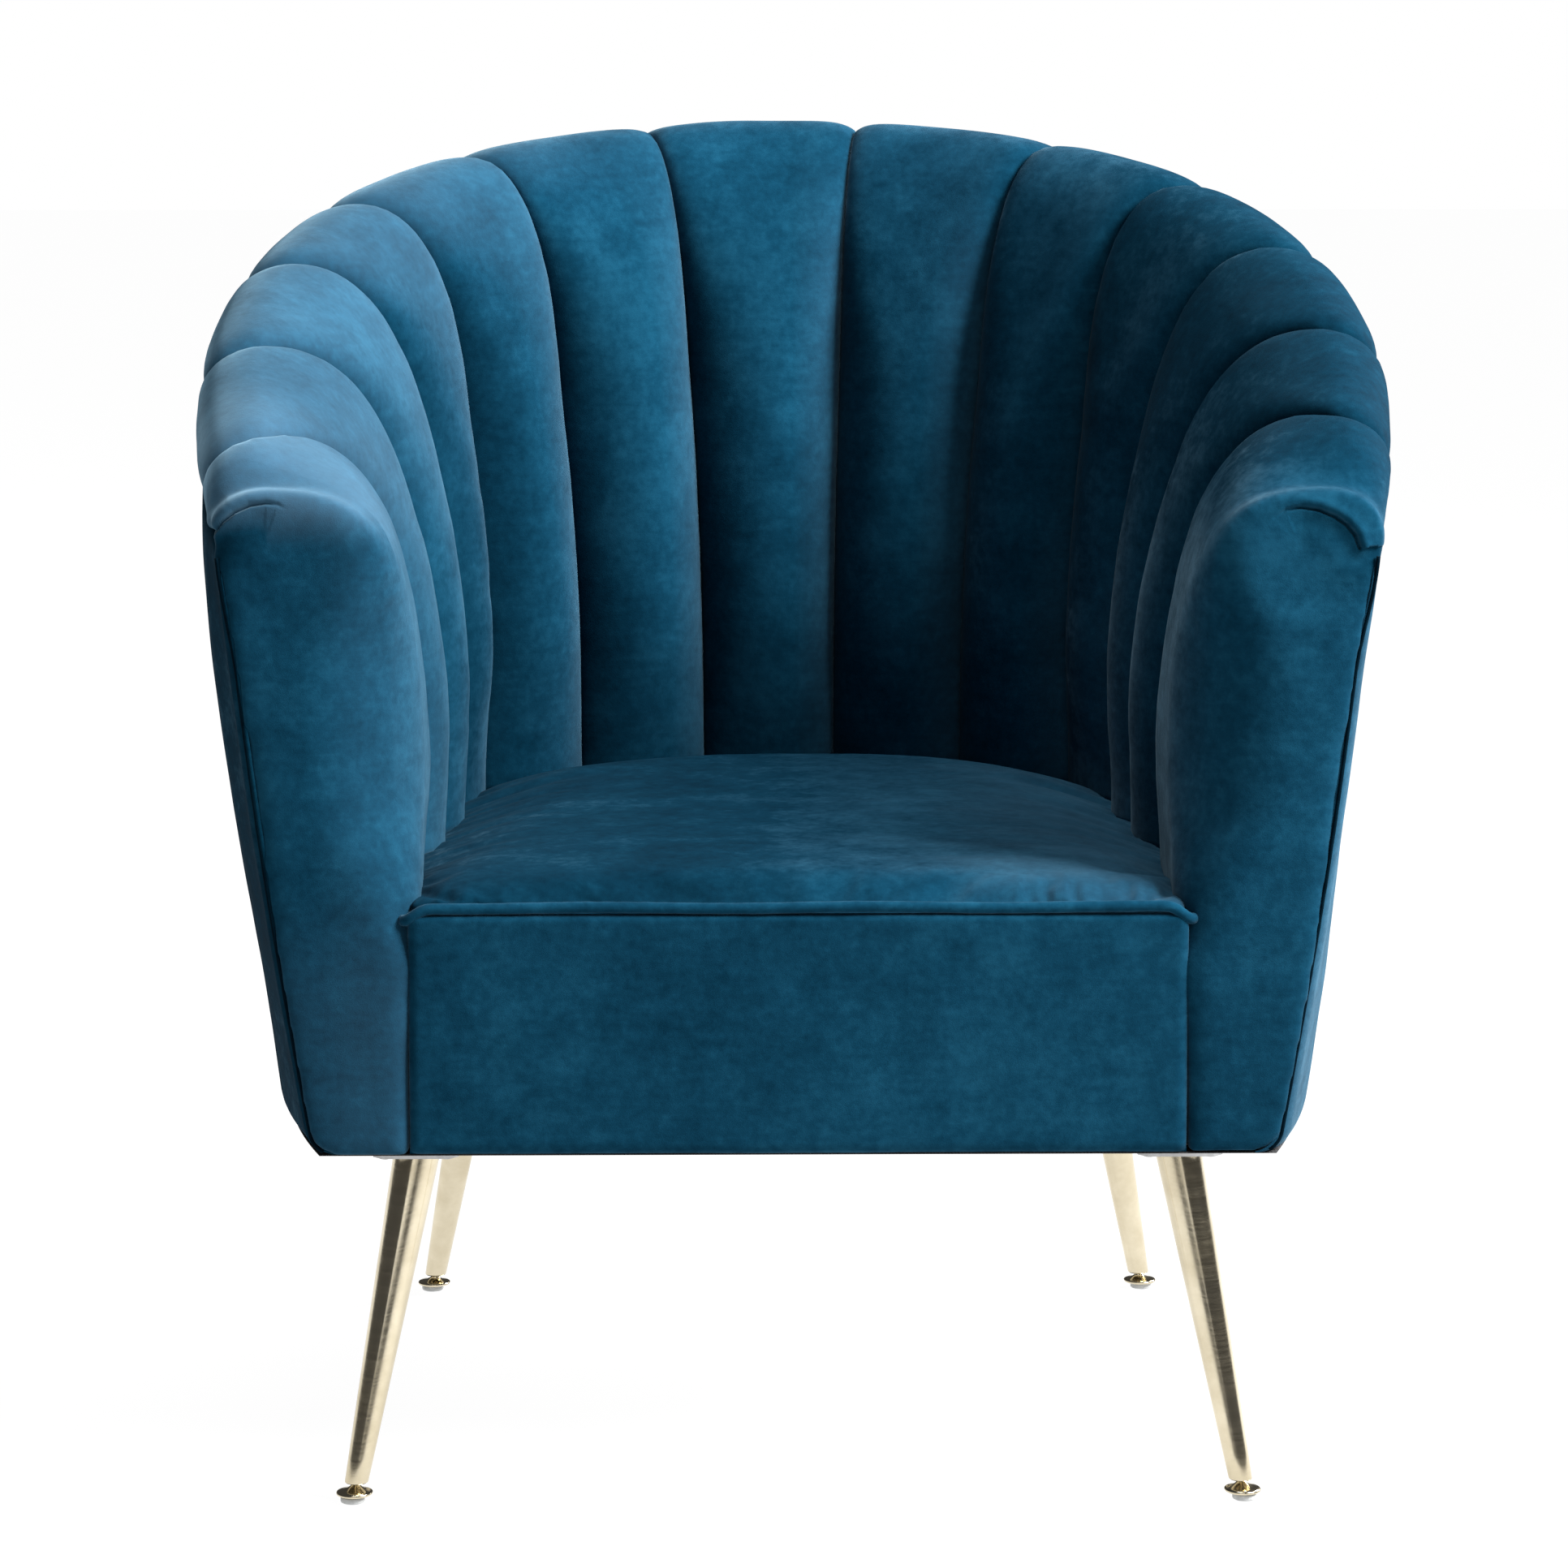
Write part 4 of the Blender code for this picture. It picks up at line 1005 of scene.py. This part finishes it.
def build_cushion():
    plan = cushion_outline(TUCK, 0.2440, 0.0088, 65)
    loops = [[(*p, CUSHION_Z[0]) for p in plan]]
    for f in np.concatenate([[1.0, 0.985, 0.97, 0.945], np.linspace(0.92, 0.04, 24)]):
        lift = CROWN * (1 - (f / 0.97) ** 3.4) if f < 0.97 else 0.0
        fall = EDGE_DROP * smooth_step(f, 0.70, 1.0) * smooth_step(plan[:, 1], 0.03, 0.14)
        loops.append(np.column_stack([SEAT_MIDDLE + (plan - SEAT_MIDDLE) * f, CUSHION_Z[1] + lift - fall]))
    obj = mesh_object("seat_pad", *ring_parts(loops), VELVET)
    modify(obj, "REMESH", mode="VOXEL", voxel_size=CUSHION_VOXEL)
    modify(obj, "SMOOTH", factor=0.5, iterations=5)
    applied(obj)
    co = coordinates(obj)
    rim = plan - SEAT_MIDDLE
    angle = np.arctan2(rim[:, 1], rim[:, 0])
    order = np.argsort(angle)
    reach = np.hypot(rim[:, 0], rim[:, 1])
    own = co[:, :2] - SEAT_MIDDLE
    limit = np.interp(np.arctan2(own[:, 1], own[:, 0]), angle[order], reach[order], period=2 * math.pi)
    edge = np.hypot(own[:, 0], own[:, 1]) / limit
    inflate(obj, (co[:, 2] < 0.366) | (edge > 0.975), CUSHION_PRESSURE, CUSHION_CAP)
    modify(obj, "SUBSURF", levels=1, render_levels=1)
    applied(obj)
    co, no = coordinates(obj), normals_of(obj)
    up = smooth_step(no[:, 2], 0.2, 0.7)
    streak = value_noise(co * (0.25, 1.0, 1.0), 0.016, 41)
    pleat = value_noise(co * (1.0, 0.12, 0.12), 0.0058, 42)
    x, y = co[:, 0], co[:, 1]
    where = smooth_step(x, 0.10, 0.21) * smooth_step(0.062 - y, 0.0, 0.05)
    where = where + 0.35 * smooth_step(-x, 0.12, 0.22) * smooth_step(0.050 - y, 0.0, 0.04)
    lift = up * (0.0012 * value_noise(co, 0.10, 43) + 0.00020 * streak + 0.0028 * pleat * where)
    place(obj, co + no * lift[:, None])
    # Painted light and shade on the seat: painted darker over most of it and brighter at the right, where
    # painted light offsets the right arm's shadow; faint streaks follow the top's cross streaks.
    paint_light_and_shade(obj, -0.45 + 0.64 * smooth_step(x, -0.10, 0.20) + 0.06 * streak)
    return finished(obj, ["seat_cushion"])


def build_front_panel():
    """Covered board under the seat's front edge."""
    xs = PANEL_HALF_WIDTH * np.sin(np.linspace(-math.pi / 2, math.pi / 2, 110))
    zs = BODY_Z + (PANEL_TOP_Z - BODY_Z) * (0.5 - 0.5 * np.cos(np.linspace(0.0, math.pi, 50)))
    front, back = [], []
    for x in xs:
        line, rear = [], []
        for z in zs:
            edge_x = min(1.0, (PANEL_HALF_WIDTH - abs(x)) / 0.007)
            edge_z = min(1.0, (z - BODY_Z) / 0.008, (PANEL_TOP_Z - z) / 0.004)
            round_x = 1 - math.sqrt(max(1 - (1 - edge_x) ** 2, 0.0))
            round_z = 1 - math.sqrt(max(1 - (1 - edge_z) ** 2, 0.0))
            line.append((x, 0.0012 + 0.0052 * min(round_x + round_z, 1.0), z))
            rear.append((x, 0.0080, z))
        front.append(line)
        back.append(rear)
    front = np.array(front)
    flat = front.reshape(-1, 3)
    flat[:, 1] -= 0.0009 * value_noise(flat, 0.09, 51) + 0.0004 * value_noise(flat, 0.022, 52) + 0.0004
    return finished(slab("front_panel_pad", flat.reshape(front.shape), back, VELVET), ["seat_front_panel"])


def build_piping():
    """Covered cord along the seat's front edge, bent back and down at both ends."""
    corner = 0.0075
    path = [(-PIPING_END, 0.0200, PIPING_Z)]
    for a in np.linspace(0.0, 90.0, 9):
        r = math.radians(a)
        path.append((-PIPING_END + corner * (1 - math.cos(r)), 0.0120 - corner * math.sin(r), PIPING_Z))
    right = [(-x, y, z) for x, y, z in path[::-1]]
    straight = np.linspace(corner - PIPING_END + 0.004, PIPING_END - corner - 0.004, 120)
    path = path + [(x, 0.0045, PIPING_Z + 0.0005 * math.sin(x * 37)) for x in straight] + right
    path = np.array(path)
    path[:, 2] -= 0.0085 * smooth_step(np.abs(path[:, 0]), PIPING_END - 0.020, PIPING_END) ** 1.5
    path = resample(path, 420)
    wobble = value_noise(path, 0.006, 61)
    loops = tube_loops(path, PIPING_R + 0.00012 * wobble, 18)
    return finished(rings("seat_piping_cord", loops, VELVET), ["seat_piping"])


build_cushion()
build_front_panel()
build_piping()


# ---- dust cover and its staples
def cover_outline(count):
    plan = []
    for arc in np.linspace(-FOOT_LENGTH + 0.005, FOOT_LENGTH - 0.005, count):
        p = horseshoe(FOOT_PLAN, arc)
        plan.append(p * np.array([0.985, 1.0]) + np.array([0.0, -0.004 if p[1] > 0.3 else 0.0]))
    return np.array(plan)


def build_dust_cover():
    plan = cover_outline(121)
    loops = []
    for z in (0.2190, 0.2197):
        for f in np.linspace(1.0, 0.02, 30) if z < 0.2195 else np.linspace(0.02, 1.0, 30):
            flat = np.column_stack([SEAT_MIDDLE + (plan - SEAT_MIDDLE) * f, np.full(len(plan), z)])
            flat[:, 2] -= 0.0007 * (1 - f ** 4) * (0.6 + 0.4 * value_noise(flat * (1, 1, 0), 0.08, 71))
            loops.append(flat)
    loops = loops[30:] + loops[:30]
    obj = mesh_object("dust_cover_cloth", *ring_parts(loops), DUST)
    finished(obj, ["dust_cover"])
    return plan


def wire_bridge(a, b, drop, radius):
    """A staple: its crown between two points, its legs going up into the rail."""
    rise = np.array([0.0, 0.0, 0.0012])
    shoulder = np.array([0.0, 0.0, drop * 0.6])
    crown = np.array([0.0, 0.0, drop])
    inset = (b - a) * 0.12
    path = [a + rise, a - shoulder, a + inset - crown, b - inset - crown, b - shoulder, b + rise]
    return ring_parts(tube_loops(path, radius, 6))


def build_staples(plan):
    line = np.column_stack([SEAT_MIDDLE + (plan - SEAT_MIDDLE) * 0.972, np.zeros(len(plan))])
    around = resample(line, 37)
    front = resample(np.array([line[-1], line[0]]), 14)[1:-1]
    parts = []
    for i, p in enumerate(np.concatenate([around, front])):
        row = around if i < len(around) else front
        j = i if i < len(around) else i - len(around)
        ahead = row[min(j + 1, len(row) - 1)] - row[max(j - 1, 0)]
        ahead = ahead / np.linalg.norm(ahead)
        tilt = 0.35 * math.sin(i * 2.3)
        turned = np.array([ahead[0] * math.cos(tilt) - ahead[1] * math.sin(tilt),
                           ahead[0] * math.sin(tilt) + ahead[1] * math.cos(tilt), 0.0])
        p = np.array([p[0], p[1], 0.2187])
        parts.append(wire_bridge(p - turned * 0.005, p + turned * 0.005, 0.0005, 0.0003))
    finished(mesh_object("dust_cover_staples", *gather(parts), STEEL), [])


build_staples(build_dust_cover())


# ---- legs, glides and plates
FRONT_FOOT = (0.2828, -0.0193)
REAR_FOOT = (0.2589, 0.5051)
SPLAY_OUT = 0.188
SPLAY_ALONG = 0.220
LEG_TOP_Z = 0.2158
LEG_END_Z = 0.0122
LEG_TOP_R = 0.0150
LEG_END_R = 0.0076
BORE_R = 0.0034
BORE_TOP_Z = 0.0460
STEM_R = 0.0030
DISC_R = 0.0117
PAD_R = 0.0077
PAD_TOP_Z = 0.0040
# Height and radius of each ring, from the bottom up for glide and pad, and down for a screw's head.
GLIDE_RINGS = ((0.0044, 0.0060), (0.0043, 0.0088), (0.0047, 0.0104), (0.0053, 0.0114), (0.0060, DISC_R),
               (0.0067, 0.0115), (0.0071, 0.0108), (0.0075, 0.0094), (0.0079, 0.0078), (0.0084, 0.0062),
               (0.0090, 0.0049), (0.0097, 0.0039), (0.0105, 0.0033), (0.0113, STEM_R))
PAD_RINGS = ((0.0, 0.0058), (0.0001, 0.0068), (0.0005, 0.0074), (0.0011, PAD_R), (0.0032, PAD_R),
             (0.0038, 0.0075), (PAD_TOP_Z, 0.0071))
SCREW_RINGS = ((0.2162, 0.0042), (0.2156, 0.0042), (0.2151, 0.0037), (0.2148, 0.0028), (0.2147, 0.0016),
               (0.2153, 0.0012))
SCREW_OFFSET = 0.0195


def build_screws(tag, cx, cy):
    """The four screws of a leg's plate, round the plate's middle."""
    turn = circle(24)
    parts = []
    for dx in (-1, 1):
        for dy in (-1, 1):
            x, y = cx + dx * SCREW_OFFSET, cy + dy * SCREW_OFFSET
            loops = []
            for z, r in SCREW_RINGS:
                loops.append(np.column_stack([x + r * np.cos(turn), y + r * np.sin(turn), np.full(24, z)]))
            parts.append(ring_parts(loops))
    finished(mesh_object("leg_screws_" + tag, *gather(parts), STEEL), [])


def build_leg(end, side):
    """A leg with its glide, the glide's pad and the screws of its plate."""
    foot, along = (FRONT_FOOT, -1) if end == "front" else (REAR_FOOT, 1)
    sign = -1 if side == "left" else 1
    tag = "%s_%s" % (end, side)

    def ring(z, radius, count=64, upright=False):
        """Circle round the leg's axis at height z; upright ones all stand over the foot's middle."""
        cz = 0.0 if upright else z
        cx = sign * (foot[0] - SPLAY_OUT * cz)
        cy = foot[1] - along * SPLAY_ALONG * cz
        turn = circle(count)
        return np.column_stack([cx + radius * np.cos(turn), cy + radius * np.sin(turn), np.full(count, z)])

    steps = []
    for share in np.linspace(0.0, 1.0, 14):
        z = LEG_TOP_Z + (LEG_END_Z + 0.0011 - LEG_TOP_Z) * share
        steps.append(ring(z, LEG_TOP_R + (LEG_END_R - LEG_TOP_R) * share))
    for a in np.radians([30.0, 60.0, 90.0]):
        steps.append(ring(LEG_END_Z + 0.0011 * (1 - math.sin(a)), LEG_END_R - 0.0011 * (1 - math.cos(a))))
    steps += [ring(LEG_END_Z, BORE_R + 0.0006), ring(LEG_END_Z + 0.0006, BORE_R), ring(BORE_TOP_Z, BORE_R)]
    finished(rings("tapered_leg_" + tag, steps, GOLD), ["leg_" + tag])

    steps = [ring(z, r, 48) for z, r in GLIDE_RINGS]
    for i in range(1, 44):
        steps.append(ring(0.0113 + 0.0267 * i / 43, STEM_R - (0.00022 if i % 2 else 0.0), 48))
    body = "levelling_foot_" + tag
    finished(rings("levelling_glide_" + tag, steps, GOLD, 60), ["glide_" + tag], body)
    steps = [ring(z, r, 48, True) for z, r in PAD_RINGS]
    finished(rings("nylon_pad_" + tag, steps, NYLON, 60), ["glide_pad_" + tag], body)

    top = ring(LEG_TOP_Z, 0.0).mean(axis=0)
    cx = top[0] - (0.0 if end == "front" else sign * 0.010)
    cy = top[1] + (0.0068 if end == "front" else -0.008)
    build_screws(tag, cx, cy)


for end in ("front", "rear"):
    for side in ("left", "right"):
        build_leg(end, side)


# ---- CAD pieces that stay
def dress(names, mat):
    for name in names:
        for item in nodes[name].material_slots:
            item.material = mat


dress(["base_rail", "top_rim", "inner_back_board"], PLYWOOD)
dress(["front_rail"], RAIL_TIMBER)
dress(["arm_post_left", "arm_post_right"] + ["back_rib_%d" % i for i in range(1, 6)], TIMBER)
dress(["corner_block_%s_%s" % (e, s) for e in ("front", "rear") for s in ("left", "right")], TIMBER)
dress(["sinuous_spring_%d" % i for i in range(1, 6)], STEEL)
dress(["leg_plate_%s_%s" % (e, s) for e in ("front", "rear") for s in ("left", "right")], STEEL)
dress(["platform_cloth"], PLATFORM)
dress(["seat_foam"], FOAM)


# ---- stage, light and camera
def build_stage():
    mat, tree, bsdf = new_material("studio_floor", 0.9)
    bsdf.inputs["Base Color"].default_value = (0.05, 0.05, 0.05, 1.0)
    bsdf.inputs["Emission Color"].default_value = (1.0, 1.0, 1.0, 1.0)
    bsdf.inputs["Emission Strength"].default_value = 0.975
    mesh = bpy.data.meshes.new("studio_floor")
    size = 14.0
    mesh.from_pydata([(-size, -size, 0.0), (size, -size, 0.0), (size, size, 0.0), (-size, size, 0.0)], [],
                     [(0, 1, 2, 3)])
    mesh.materials.append(mat)
    add_object("studio_floor", mesh)


def area_light(name, position, target, size, power):
    light = bpy.data.lights.new(name, "AREA")
    light.shape = "RECTANGLE"
    light.size, light.size_y = size
    light.energy = power
    obj = add_object(name, light)
    way = np.array(target, dtype=float) - np.array(position, dtype=float)
    flat = math.hypot(way[0], way[1])
    obj.location = position
    obj.rotation_euler = (math.atan2(flat, -way[2]), 0.0, math.atan2(-way[0], way[1]))


def build_studio():
    build_stage()
    area_light("key_light", (2.25, -1.1, 2.45), (0.0, 0.1, 0.55), (1.3, 1.3), 335.0)
    area_light("rim_light", (2.6, 1.7, 1.9), (0.0, 0.1, 0.6), (1.0, 1.6), 190.0)
    area_light("top_light", (0.0, 0.05, 3.2), (0.0, 0.1, 0.4), (1.2, 1.2), 58.0)
    area_light("front_light", (-0.3, -4.0, 1.3), (0.0, 0.0, 0.45), (2.0, 1.4), 12.0)
    world = bpy.data.worlds.new("studio_air")
    world.use_nodes = True
    back = world.node_tree.nodes["Background"]
    dim = world.node_tree.nodes.new("ShaderNodeBackground")
    for node, strength in ((back, 1.0), (dim, 0.06)):
        node.inputs["Color"].default_value = (1.0, 1.0, 1.0, 1.0)
        node.inputs["Strength"].default_value = strength
    path = world.node_tree.nodes.new("ShaderNodeLightPath")
    mix = world.node_tree.nodes.new("ShaderNodeMixShader")
    links = world.node_tree.links
    links.new(path.outputs["Is Camera Ray"], mix.inputs["Fac"])
    links.new(dim.outputs[0], mix.inputs[1])
    links.new(back.outputs[0], mix.inputs[2])
    links.new(mix.outputs[0], world.node_tree.nodes["World Output"].inputs["Surface"])
    bpy.context.scene.world = world
    bpy.context.scene.view_settings.view_transform = "Standard"
    camera = bpy.data.cameras.new("camera")
    camera.sensor_width = 36.0
    camera.lens = 122.48
    view = add_object("camera", camera)
    view.location = (-0.0544, -3.6351, 1.0004)
    view.rotation_euler = (math.pi / 2 - 0.1639007, 0.0, -0.0137448)
    bpy.context.scene.camera = view


build_studio()
